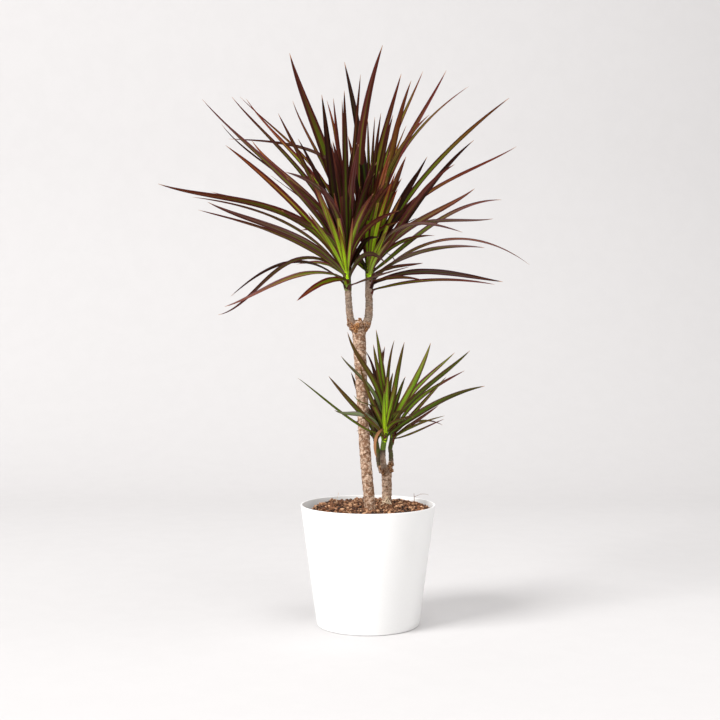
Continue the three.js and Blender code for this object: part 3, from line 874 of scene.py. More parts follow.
@dataclass
class NurseryPot:
    """The thin inner pot that holds the soil, and shows only as a dark rim."""

    height: float = 0.180
    seat: float = 0.0053
    rim_radius: float = 0.095
    base_radius: float = 0.074
    wall: float = 0.0015
    lip: float = 0.002
    lip_height: float = 0.009
    shift: float = 0.0055
    drains: int = 6
    drain_radius: float = 0.006
    drain_circle: float = 0.048
    drain_sides: int = 24
    sides: int = 96
    edge_round: float = 0.0004
    edge_degrees: float = 50
    sharp: float = 35

    def build(self) -> Piece:
        """Models the pot, with its lip and its drain holes.

        Returns:
            The finished pot.
        """
        top = self.seat + self.height
        radii = (self.base_radius, self.rim_radius, self.base_radius - self.wall)
        heights = (self.seat, self.seat + self.wall, top)
        pot = tapered_shell("black_nursery_pot", self.sides, radii, heights, self.wall)
        with editing("FACE") as mesh:
            bpy.ops.mesh.select_all(action="SELECT")
            bpy.ops.mesh.bisect(plane_co=(0, 0, top - self.lip_height), plane_no=(0, 0, 1))
            pick(mesh.faces, lambda f: self.is_lip(f, top))
            bpy.ops.mesh.extrude_region_shrink_fatten(TRANSFORM_OT_shrink_fatten={"value": self.lip})
        self.cut_drains(pot)
        limit = math.radians(self.edge_degrees)
        finish_with(pot, "BEVEL", width=self.edge_round, segments=2, limit_method="ANGLE", angle_limit=limit)
        soften(pot, self.sharp)
        move_to(pot, places(pot) + (self.shift, 0, 0))
        return pot

    def is_lip(self, face: bmesh.types.BMFace, top: float) -> bool:
        """Returns whether a face is on the outside, in the band under the rim."""
        centre = face.calc_center_median()
        outward = face.normal.x * centre.x + face.normal.y * centre.y
        return centre.z > top - self.lip_height and outward > 0.5 * self.base_radius

    def cut_drains(self, pot: Piece) -> None:
        """Cuts the ring of round holes in the floor."""
        cutters = []
        for k in range(self.drains):
            angle = FULL_TURN * k / self.drains
            spot = (self.drain_circle * math.cos(angle), self.drain_circle * math.sin(angle), self.seat)
            cutters.append(cylinder(self.drain_sides, self.drain_radius, 6 * self.wall, spot))
        cutter = joined(cutters, "drain_cutter")
        finish_with(pot, "BOOLEAN", operation="DIFFERENCE", object=cutter, solver="EXACT")
        bpy.data.objects.remove(cutter)


# ---------------------------------------------------------------- soil

# Each row is a tint, a radius and the start, middle and end of a twig or splinter that stands in the soil.
TWIGS = (
    (1.75, 1.3, (24, 2, 192), (28, 4, 200), (33, 6.5, 207)),
    (1.7, 1.1, (39, 3, 193), (35, 5, 200), (29.5, 6.5, 207.5)),
    (1.75, 1.3, (22.5, 1, 199), (29, 0.5, 198), (36, 1, 194)),
    (1.7, 1.0, (20, -3, 193), (25, -4.5, 196.5), (30, -5, 196)),
    (1.75, 1.0, (40, -2, 194), (35, -3, 197.5), (30, -1, 199)),
    (1.6, 0.9, (33, 4, 196), (31, 5.5, 203), (27, 6, 206)),
    (1.45, 0.45, (-52, 20, 194), (-51, 18, 204), (-48, 17, 211)),
    (0.4, 0.6, (76, 10, 191), (76.5, 10, 202), (75.6, 10, 211)),
    (0.45, 0.35, (75.8, 10, 205), (82, 9, 208), (87, 8, 210.5)),
    (0.45, 0.3, (86, 8, 209.8), (93, 8, 211), (100.3, 8, 208.5)),
    (0.15, 0.6, (17, 20, 193), (19.5, 19, 198), (22, 18, 199.5)),
)


@dataclass
class Soil:
    """Fluffy coir and bark, heaped nearly to the rim and spilling over the inner pot's edge.

    A crater is a place and a radius. The ridges are two crossing waves and a slanting one, by the
    millimetre. Tints run from 0, nearly black, to 1.6, straw.
    """

    edge_height: float = 0.185
    mound: float = 0.007
    mound_reach: float = 0.097
    radius: float = 0.0925
    floor: float = 0.0071
    base_radius: float = 0.0715
    shift: float = 0.0055
    spill: float = 0.0975
    sides: int = 72
    rings: int = 18
    ring_width: float = 0.00495
    relief: float = 0.0014
    ridges: tuple[Span, ...] = ((0.17, 0.9), (0.15, -0.4), (0.31, -0.2))
    slant_share: float = 0.6
    clump: float = 0.0032
    clump_scale: float = 105
    bed_sink: float = 0.0015
    # The bed under the crumbs is coloured near black: painted shade in the gaps between them.
    painted_gap_shade: float = 0.12
    crater_depth: float = 0.006
    craters: tuple[Point, ...] = (
        (0.0175, 0.010, 0.0085),
        (-0.0187, -0.004, 0.0075),
        (0.012, -0.028, 0.005),
    )
    crumbs: int = 5200
    crumb_kinds: int = 6
    crumb_roughness: Span = (0.62, 1.25)
    crumb_widths: Span = (0.55, 0.9)
    crumb_depths: Span = (0.45, 0.8)
    crumb_size: Span = (0.0008, 0.0038)
    crumb_lift: Span = (-0.1, 0.9)
    crumb_tilt: Span = (-0.7, 0.7)
    crumb_inset: float = 0.001
    crumb_tint: float = 0.34
    crumb_tints: Span = (-0.4, 0.4)
    patch_scale: float = 45
    patch_tint: float = 0.2
    # Painted shade in the craters, and painted light on the raised clumps.
    painted_hollow_shade: float = -0.55
    painted_clump_light: float = 0.6
    light_tint: float = 0.5
    strands: int = 750
    strand_inset: float = 0.012
    strand_lift: float = 0.001
    strand_length: Span = (0.004, 0.013)
    strand_rise: Span = (0.0, 0.004)
    strand_curl: Span = (-0.7, 0.7)
    strand_radius: Span = (0.00018, 0.0004)
    strand_tint: Span = (0.15, 1.05)
    seed: int = 7
    sharp: float = 25

    def clumps(self, x: float, y: float) -> float:
        """Returns how much the soil clumps up at a place, from -1 to 1."""
        return noise_at(x, y, 9, self.clump_scale)

    def height(self, x: float, y: float) -> float:
        """Returns the soil's height at a place from its own centre."""
        share = min(math.hypot(x, y) / self.mound_reach, 1)
        a, b = x / MM, y / MM
        (a_rate, a_start), (b_rate, b_start), (a_slant, b_slant) = self.ridges
        ridges = math.sin(a_rate * a + a_start) * math.sin(b_rate * b + b_start)
        ridges += self.slant_share * math.sin(a_slant * a + b_slant * b)
        heaped = self.edge_height + self.mound * (1 - share**6) + self.relief * ridges
        return heaped + self.clump * self.clumps(x, y) - self.crater_depth * self.hollow(x, y)

    def hollow(self, x: float, y: float) -> float:
        """Returns how far a place lies in one of the small craters, from 0 to 1."""
        deep = 0.0
        for at_x, at_y, radius in self.craters:
            gap = math.hypot(x + self.shift - at_x, y - at_y) / radius
            deep = max(deep, 1 - gap**4)
        return deep

    def spot(self, draw: Draw, inset: float) -> Span:
        """Draws a place on the soil, at least an inset away from where it ends."""
        distance = (self.spill - inset) * math.sqrt(draw.number())
        angle = FULL_TURN * draw.number()
        return distance * math.cos(angle), distance * math.sin(angle)

    def bed(self) -> Piece:
        """Models the body of the soil from a cylinder with a finely divided top."""
        depth = self.edge_height - self.floor
        bed = cylinder(self.sides, self.radius, depth, (0, 0, self.floor + depth / 2))
        with editing("FACE") as mesh:
            pick(mesh.faces, lambda f: f.calc_center_median().z < self.floor + TOUCH)
            widen(self.base_radius / self.radius)
            pick(mesh.faces, above(self.edge_height))
            for _ in range(self.rings):
                bpy.ops.mesh.inset(thickness=self.ring_width)
            bpy.ops.mesh.poke()
        points = places(bed)
        for k, (x, y, z) in enumerate(points):
            if z > self.edge_height - TOUCH:
                rough = noise_at(x, y, 0, 160) + 0.6 * noise_at(x, y, 5, 420)
                points[k, 2] = self.height(x, y) - self.bed_sink + self.relief * rough
        move_to(bed, points + (self.shift, 0, 0))
        # Painted shade: the bed is tinted near black, so that the gaps between the crumbs read dark.
        note(bed, tint=self.painted_gap_shade)
        return bed

    def crumb_shapes(self) -> tuple[list[np.ndarray], list[tuple[int, ...]]]:
        """Works a few rough crumbs from a ball.

        Returns:
            The vertices of each crumb, and the faces that they all have.
        """
        start()
        bpy.ops.mesh.primitive_ico_sphere_add(subdivisions=1, radius=1)
        ball = bpy.context.object
        round_points = places(ball)
        faces = [tuple(face.vertices) for face in ball.data.polygons]
        bpy.data.objects.remove(ball)
        draw = Draw(self.seed)
        shapes = []
        for _ in range(self.crumb_kinds):
            rough = np.array([[draw.between(*self.crumb_roughness)] for _ in round_points])
            squash = (1.0, draw.between(*self.crumb_widths), draw.between(*self.crumb_depths))
            shapes.append(round_points * rough * squash)
        return shapes, faces

    def loose_crumbs(self) -> Piece:
        """Scatters copies of the crumbs over the bed, with painted shade in its hollows and painted light on
        its clumps.
        """
        draw = Draw(self.seed + 1)
        shapes, faces = self.crumb_shapes()
        points, corners, tints = [], [], []
        for k in range(self.crumbs):
            x, y = self.spot(draw, self.crumb_inset)
            size = lerp(*self.crumb_size, draw.number() ** 4)
            tilts = (draw.between(*self.crumb_tilt), draw.between(*self.crumb_tilt))
            turn = np.array(Euler((*tilts, draw.between(0, LOOSE_TURN))).to_matrix())
            lift = self.height(x, y) + size * draw.between(*self.crumb_lift)
            shape = shapes[int(draw.number() * len(shapes))] * size
            points.append(shape @ turn.T + (x + self.shift, y, lift))
            corners.extend(tuple(k * len(shape) + v for v in face) for face in faces)
            tint = self.crumb_tint + self.patch_tint * noise_at(x, y, 2, self.patch_scale)
            # Painted shade makes the crumbs in the craters darker, and painted light makes the crumbs on
            # raised clumps lighter.
            tint += self.painted_hollow_shade * self.hollow(x, y) + self.painted_clump_light * self.clumps(x, y)
            tint += draw.between(*self.crumb_tints) + self.light_tint * draw.number() ** 6
            tints.append(np.full(len(shape), tint))
        mesh = bpy.data.meshes.new("soil_crumbs")
        mesh.from_pydata(np.concatenate(points).tolist(), [], corners)
        crumbs = bpy.data.objects.new("soil_crumbs", mesh)
        bpy.context.scene.collection.objects.link(crumbs)
        note(crumbs, tint=np.concatenate(tints))
        return crumbs

    def coir(self) -> Piece:
        """Lays short curved strands among the crumbs, and the twigs and splinters on top."""
        draw = Draw(self.seed + 2)
        template = straight_strand()
        strands = []
        for _ in range(self.strands):
            x, y = self.spot(draw, self.strand_inset)
            angle = FULL_TURN * draw.number()
            length = draw.between(*self.strand_length)
            rise = Vector((0, 0, draw.between(*self.strand_rise)))
            base = Vector((x + self.shift, y, self.height(x, y) + self.strand_lift))
            away = Vector((math.cos(angle), math.sin(angle), 0)) * length
            aside = Vector((-away.y, away.x, 0)) * draw.between(*self.strand_curl)
            route = [base, base + away * 0.5 + aside + rise, base + away]
            strands.append(strand(template, route, draw.between(*self.strand_radius)))
            note(strands[-1], tint=draw.between(*self.strand_tint))
        for tint, radius, *route in TWIGS:
            strands.append(strand(template, [Vector(p) * MM for p in route], radius * MM))
            note(strands[-1], tint=tint)
        bpy.data.objects.remove(template)
        return joined(strands, "soil_coir")

    def build(self) -> Piece:
        """Models the soil.

        Returns:
            The soil in one piece.
        """
        soil = joined([self.bed(), self.loose_crumbs(), self.coir()], "coir_and_bark_soil")
        soften(soil, self.sharp)
        return soil


def straight_strand(rings: int = 4) -> Piece:
    """Models the straight, tapering four-sided strand, 1 long, that every strand is a copy of."""
    start()
    bpy.ops.mesh.primitive_cone_add(vertices=4, radius1=1, radius2=0.4, depth=1, location=(0, 0, 0.5))
    made = bpy.context.object
    apply_place(made)
    cut_in_rings(rings)
    return made


def strand(template: Piece, route: Sequence[Vector], radius: float) -> Piece:
    """Bends a copy of the straight strand along three points.

    Args:
        template: the straight strand.
        route: its start, middle and end.
        radius: its radius at the start.

    Returns:
        The strand.
    """
    made = copy_of(template)
    ahead = (route[2] - route[0]).normalized()
    side = Vector((-ahead.y, ahead.x, 0)).normalized()
    points = places(template)
    for k, (x, y, share) in enumerate(points):
        centre = route[0].lerp(route[1], share).lerp(route[1].lerp(route[2], share), share)
        points[k] = centre + (side * x + ahead.cross(side) * y) * radius
    move_to(made, points)
    return made


# ---------------------------------------------------------------- canes


@dataclass(frozen=True)
class Limb:
    """A cane or a shoot: where it runs and how thick it is."""

    route: tuple[Point, ...]
    radii: tuple[float, ...]
    scar_spacing: float

    def centre(self, share: np.ndarray) -> np.ndarray:
        """Returns points along the route, on one smooth curve through its points."""
        knots = np.array(self.route)
        padded = np.vstack([2 * knots[0] - knots[1], knots, 2 * knots[-1] - knots[-2]])
        along = np.clip(share, 0, 1) * (len(knots) - 1)
        k = np.minimum(along.astype(int), len(knots) - 2)
        t = (along - k)[:, None]
        a, b, c, d = (padded[k + ahead] for ahead in range(4))
        curve = 2 * b + (c - a) * t + (2 * a - 5 * b + 4 * c - d) * t**2
        return 0.5 * (curve + (3 * b - a - 3 * c + d) * t**3)

    def radius(self, share: np.ndarray) -> np.ndarray:
        """Returns its radius at shares of its route."""
        return np.interp(share, np.linspace(0, 1, len(self.radii)), self.radii)

    def tube(self, sides: int, rings: int) -> Piece:
        """Models the limb from a cylinder, cut into rings that follow the route."""
        made = cylinder(sides, 1, 1, (0, 0, 0.5))
        cut_in_rings(rings)
        points = places(made)
        share = points[:, 2].copy()
        level = points * (1, 1, 0) * self.radius(share)[:, None]
        move_to(made, self.centre(share) + level)
        return made

    def nearest(self, points: np.ndarray) -> tuple[np.ndarray, np.ndarray, np.ndarray]:
        """Finds how the limb lies to some points.

        Args:
            points: the points, one row each.

        Returns:
            Each point's distance from the bark (less than 0 inside), its angle round the limb and its height.
        """
        share = np.linspace(0, 1, 200)
        height = points[:, 2]
        axis_share = np.interp(height, self.centre(share)[:, 2], share)
        off = points - self.centre(axis_share)
        gap = np.linalg.norm(off, axis=1) - self.radius(axis_share)
        return gap, np.arctan2(off[:, 1], off[:, 0]), height


@dataclass
class Cane:
    """A sawn cane with its shoots and callus lumps, grown together.

    A callus is a centre and a radius. The fresh heights, one for each shoot, are where its bark turns
    green. A weathered cane's plates of bark are paler. A scar reaches scar_reach radians each way.
    """

    name: str
    trunk: Limb
    shoots: tuple[Limb, ...]
    calluses: tuple[tuple[float, ...], ...]
    fresh: tuple[float, ...]
    weathered: float = 0.0
    voxel: float = 0.0009
    trunk_mesh: tuple[int, int] = (48, 60)
    shoot_mesh: tuple[int, int] = (32, 20)
    lump_shape: Point = (1, 1, 0.9)
    scars_a_spacing: float = 2.6
    scar_reach: float = 1.45
    scar_droop: float = 0.55
    plate_step: float = 0.618
    scar_edge: Span = (0.02, 0.16)
    scar_depth: float = 0.0008
    plate_lift: float = 0.35
    callus_edge: Span = (0.0002, 0.0022)
    wart: float = 0.0027
    wart_edge: Span = (0.02, 0.45)
    wart_height: float = 0.0011
    grain_scale: float = 380
    bark_grain: float = 0.00022
    callus_grain: float = 0.0003
    fresh_edge: float = 0.004
    fresh_ragged: float = 0.005
    fresh_share: float = 0.85
    sharp: float = 60

    def rough_form(self) -> Piece:
        """Models the limbs and lumps and grows them together into one skin."""
        pieces = [self.trunk.tube(*self.trunk_mesh)]
        pieces += [shoot.tube(*self.shoot_mesh) for shoot in self.shoots]
        for *centre, radius in self.calluses:
            start()
            bpy.ops.mesh.primitive_ico_sphere_add(
                subdivisions=4, radius=radius, location=centre, scale=self.lump_shape
            )
            pieces.append(bpy.context.object)
            apply_place(pieces[-1])
        cane = joined(pieces, self.name)
        finish_with(cane, "REMESH", mode="VOXEL", voxel_size=self.voxel)
        finish_with(cane, "SMOOTH", factor=0.6, iterations=4)
        return cane

    def scars(self, limb: Limb, angle: np.ndarray, height: np.ndarray) -> tuple[np.ndarray, np.ndarray]:
        """Measures how far each point lies above the leaf scar beneath it, and tones that scar's plate.

        Args:
            limb: the cane or shoot.
            angle: each point's angle round it.
            height: each point's height.

        Returns:
            0 just above a scar's lip to 1 a full spacing above, and a tone from 0 to 1 for each plate.
        """
        low, spacing = limb.route[0][2], limb.scar_spacing
        pitch = spacing / self.scars_a_spacing
        count = int((limb.route[-1][2] - low) / pitch) + 4
        rise = np.full(len(angle), spacing)
        plate = np.full(len(angle), 0.5)
        for k in range(-2, count):
            turn = (angle - k * math.radians(GOLDEN_DEGREES) + math.pi) % FULL_TURN - math.pi
            droop = self.scar_droop * spacing * (1 - (turn / self.scar_reach) ** 2)
            gap = height - (low + k * pitch - droop)
            here = (np.abs(turn) < self.scar_reach) & (gap >= 0)
            plate = np.where(here & (gap < rise), (k * self.plate_step) % 1, plate)
            rise = np.where(here, np.minimum(rise, gap), rise)
        return np.clip(rise / spacing, 0, 1), plate

    def build(self) -> Piece:
        """Models the cane.

        Returns:
            The finished cane, with its scar, plate, callus, wart, fresh and shoot numbers.
        """
        cane = self.rough_form()
        points, normals = places(cane), directions(cane)
        limbs = (self.trunk, *self.shoots)
        found = [limb.nearest(points) for limb in limbs]
        owner = np.argmin([gap for gap, _, _ in found], axis=0)
        scar, plate, ends = np.zeros(len(points)), np.zeros(len(points)), np.ones(len(points))
        for k, limb in enumerate(limbs):
            mine = owner == k
            _, angle, height = found[k]
            scar[mine], plate[mine] = self.scars(limb, angle[mine], height[mine])
            if k:
                ends[mine] = self.fresh[k - 1]
        lumps = np.array(self.calluses)
        gaps = np.linalg.norm(points[:, None, :] - lumps[None, :, :3], axis=2) - lumps[None, :, 3]
        callus = 1 - smooth(*self.callus_edge, gaps.min(axis=1))
        bark = 1 - callus
        grain = roughness_of(points, self.grain_scale)
        near = np.array([noise.voronoi(Vector(p) / self.wart)[0][:2] for p in points])
        wart = smooth(*self.wart_edge, near[:, 1] - near[:, 0])
        relief = self.scar_depth * (self.plate_lift - scar) * bark + self.bark_grain * grain
        relief = relief + callus * (self.wart_height * (wart - 0.5) + self.callus_grain * grain)
        move_to(cane, points + normals * relief[:, None])
        young = smooth(-self.fresh_edge, self.fresh_edge, points[:, 2] - ends + self.fresh_ragged * grain)
        note(
            cane,
            scar=(1 - smooth(*self.scar_edge, scar)) * bark,
            plate=plate + self.weathered,
            callus=callus,
            wart=wart,
            shoot=(owner > 0) * bark,
            fresh=self.fresh_share * young * bark,
        )
        soften(cane, self.sharp)
        return cane


TALL_CANE_ROUTE = (
    (10, -62, 88),
    (3.2, -45, 189),
    (-4.5, -30, 278),
    (-9.8, -12, 375),
    (-14.3, 4, 466),
    (-14.8, 6, 479),
    (-15, 7, 487),
    (-15, 8, 494),
)
TALL_CALLUSES = (
    (-28, 3, 489, 6.6),
    (-26, -2, 482, 5.2),
    (-29.5, 1, 496, 4.4),
    (-2.5, 10, 488, 7),
    (-4.5, 3, 481, 5.2),
    (-0.5, 12, 496, 4.8),
    (-17, -7, 486, 4.6),
    (-9.5, -5.5, 487, 4.4),
    (-21, -6, 478, 3.8),
    (-13, 3, 496.5, 3.2),
    (-18.5, 8, 493, 3.4),
)
SHORT_CALLUSES = (
    (23.2, 5, 253, 4.6),
    (38.6, 6, 259, 4.2),
    (38.4, 4, 249, 3.8),
    (28.5, 0, 251, 4.6),
    (33.5, 0.5, 256, 3.4),
    (25, 2, 245, 3.6),
)


def limb(route: Sequence[Point], radii: Sequence[float], scar_spacing: float) -> Limb:
    """Returns a limb from millimetres."""
    return Limb(metres(route), tuple(r * MM for r in radii), scar_spacing * MM)


def canes() -> tuple[Cane, Cane]:
    """Returns the tall and the short cane."""
    tall = Cane(
        "tall_bare_cane",
        limb(TALL_CANE_ROUTE, (8.8, 9.1, 9.2, 9.5, 10.9, 13.6, 13.8, 10), 11),
        (
            limb(
                ((-22, 4, 484), (-29, 1, 500), (-31.5, -6, 525), (-32.5, -10, 544.7)), (8, 6.2, 5.6, 5.6), 5
            ),
            limb(((-6, 9, 482), (0.5, 12, 499), (2, 17, 520), (1.5, 20, 539.7)), (9, 7, 6.3, 6.2), 5),
        ),
        metres(TALL_CALLUSES),
        fresh=(0.543, 0.567),
    )
    short = Cane(
        "short_bare_cane",
        limb(((32, 20, 100), (31.4, 16, 192), (30.8, 9, 240), (30.5, 8, 257)), (7.8, 8, 8.4, 9), 10),
        (
            limb(((28, 4, 248), (24.5, -5, 266), (24, -8, 285.7)), (6, 4.8, 4.5), 4.5),
            limb(((24, 11, 244), (17.8, 13, 262), (17, 14, 278.7)), (5.5, 4.2, 3.8), 4.5),
            limb(((34, 9, 246), (38, 10, 266), (36.5, 10, 286.7)), (5.5, 4, 3.6), 4.5),
        ),
        metres(SHORT_CALLUSES),
        fresh=(0.278, 0.256, 0.263),
        weathered=0.3,
        voxel=0.0007,
    )
    return tall, short


# ---------------------------------------------------------------- leaves

# The core of a head, and where its leaves root. A head of LUSH_HEAD or more shows lime between them.
CORE_TAPER = 0.9
CORE_MESH = (16, 12)
CORE_SINK = 2
CORE_PLATE = 0.5
CORE_RAGGED = 0.004
CORE_GRAIN_SCALE = 300
CORE_FRESH_EDGE = 0.003
LUSH_HEAD = 0.8
LUSH_LIME = 0.7
PLAIN_LIME = 0.1
ROOT_DEPTH = 0.6
ROOT_RANGE = (0.06, 0.94)
LOWEST_ROOT = math.radians(15)
# How a leaf's base clasps the core: for what share of its length, how far off, and how far round and up.
SHEATH = 0.09
SHEATH_GAP = 0.35
SHEATH_LAYER = 0.3
SHEATH_WRAP = 1.35
SHEATH_RISE = 160
SHEATH_SINK = 7
SHEATH_FLARE = 3
# A leaf's own line: where its curve is lifted near the tip, how much of it is laid, and how fine it is read.
TAIL_AT = 0.7
LEAF_REACH = 0.997
STRIDE = 0.02
HEAD_SHARP = 50
# Turns are shares of the turn that faces a leaf to the viewer. Climbs, leans and spreads are degrees.
OUTLINE_TURN = (0.45, 1.0)
SPIRAL_TURN = (0.0, 0.9)
SPIRAL_CLIMB = (84, 30)
SPIRAL_LEAN = 15
SPIRAL_CLIMB_SPREAD = 16
SPIRAL_AZIMUTH_SPREAD = 20
SPIRAL_GROWTH = (0.72, 0.28)
SPIRAL_LENGTHS = (0.82, 1.1)
SPIRAL_WIDTHS = (0.8, 1.15)
SPIRAL_BOW = (0.04, 0.3)
SPIRAL_BOWS = (0.6, 1.2)
SPIRAL_TAILS = (0, 0.8)
SPIRAL_SIDE_CUT = 0.45
TWIST_LIMIT = 0.4
TURN_SEED = 1000
TONE_SEED = 2000
# The stretch of the tall cane that the lower heads stand beside, and how their leaves keep off it.
BESIDE_LOWER_HEADS = (TALL_CANE_ROUTE[1], TALL_CANE_ROUTE[4])
TRUNK_CLEARANCE = 17.0
TRUNK_SOFTNESS = 3
# What the numbers that a leaf's finish reads are drawn from. The dark number is partly leaf tone and partly
# painted shade. A dark number under 0, as on young leaves, lightens them as painted light. The sheen number
# is a painted highlight, and the orange glow number is a painted backlight.
UPRIGHT = math.radians(80)
LUSH_DRAWS = (0.3, 1.7)
OUTLINE_YOUTH = 0.45
GREEN_SHARES = (0.6, 0.4)
RIM_DRAWS = (0.04, 0.52)
YOUNG_RIM = 0.72
YOUNG_PAINTED_BRIGHTENING = -0.6
PAINTED_BACKLIGHT_MOST = 0.8
PAINTED_BACKLIGHT_SLOPE = 2.4
PAINTED_BACKLIGHT_DROP = 1.4
DARK_TONE_AND_SHADE_POWER = 1.4
PAINTED_SHEEN_REACH = 1.2


def shortfall(gap: np.ndarray, clear: float, soft: float) -> np.ndarray:
    """Returns how far gaps fall short of a clear distance, easing in over a soft one."""
    return soft * np.log1p(np.exp((clear - gap) / soft))


class Side(Enum):
    """Which side of a parting plane a head is on."""

    FIRST = 1
    SECOND = -1


@dataclass(frozen=True)
class Parting:
    """An upright plane between two heads, which their leaves bend away from."""

    first: str
    second: str
    at: Span
    facing: Span
    clear: float
    soft: float

    def side(self, head: str) -> Side | None:
        """Returns the side that a head is on, or None where the plane isn't beside it."""
        return {self.first: Side.FIRST, self.second: Side.SECOND}.get(head)

    def bend(self, points: np.ndarray, side: Side) -> None:
        """Bends points away from the plane, in place."""
        across = (points[:, 0] - self.at[0]) * self.facing[0] + (points[:, 1] - self.at[1]) * self.facing[1]
        push = side.value * shortfall(side.value * across, self.clear, self.soft)
        points[:, 0] += self.facing[0] * push
        points[:, 1] += self.facing[1] * push


PARTINGS = (
    Parting("upper_left_crown", "upper_right_crown", (-15.5, 5), (-0.75, -0.66), 8.5, 5),
    Parting("lower_front_crown", "lower_left_crown", (20.5, 3), (0.28, -0.96), 5.8, 2.5),
    Parting("lower_front_crown", "lower_right_crown", (30.25, 1), (-0.2, -0.98), 5.8, 2.5),
    Parting("lower_left_crown", "lower_right_crown", (26.75, 12), (-0.98, 0.19), 5.5, 2.5),
)


@dataclass(frozen=True)
class StrapForm:
    """How the flat strap is shaped into a leaf.

    A pair is an amount, and how fast or how often it changes along the leaf or, for the rib, across it.
    The blade's and the rib's thickness and the least half width are millimetres.
    """

    curl: float
    taper: float
    rounding: float
    fold: float
    sway: Span = (0.10, 9)
    root_width: Span = (0.5, 1.5)
    least_half: float = 0.12
    root_fold: Span = (0.3, 0.12)
    fold_power: float = 1.6
    fold_narrowing: float = 0.3
    blade: float = 0.22
    rib: Span = (0.4, 0.2)
    thinning: float = 0.6
    ripple: Span = (0.05, 30)


FRESH_LEAF = StrapForm(curl=0.0, taper=3, rounding=0.9, fold=0.24)
DRY_LEAF = StrapForm(curl=0.9, taper=8, rounding=0.5, fold=0.35)


@dataclass(frozen=True)
class Leaf:
    """One strap leaf: where its tip is from the head's foot, how far it bows, and how wide it is.

    bow and tail lift its curve near its root and near its tip. share is how far up the core it roots,
    where its climb doesn't say. face turns it to the viewer by a share, in place of a drawn turn. The
    painted sheen share is the least painted sheen (a painted highlight) it has, which also keeps it from
    being darkened.
    """

    x: float
    y: float
    z: float
    bow: float
    tail: float
    width: float
    share: float | None = None
    dry: bool = False
    young: bool = False
    face: float | None = None
    painted_sheen_share: float = 0.0

    def climb(self) -> float:
        """Returns how steeply its tip lies above the head's foot, in radians."""
        return math.atan2(self.z, math.hypot(self.x, self.y))

    def away(self) -> np.ndarray:
        """Returns the level direction that it grows in."""
        return np.array([self.x, self.y, 0]) / math.hypot(self.x, self.y)

    def form(self) -> StrapForm:
        """Returns the shape of its strap."""
        return DRY_LEAF if self.dry else FRESH_LEAF


@dataclass(frozen=True)
class Spiral:
    """The leaves that fill a head between its outline ones."""

    count: int
    reach: float
    width: float


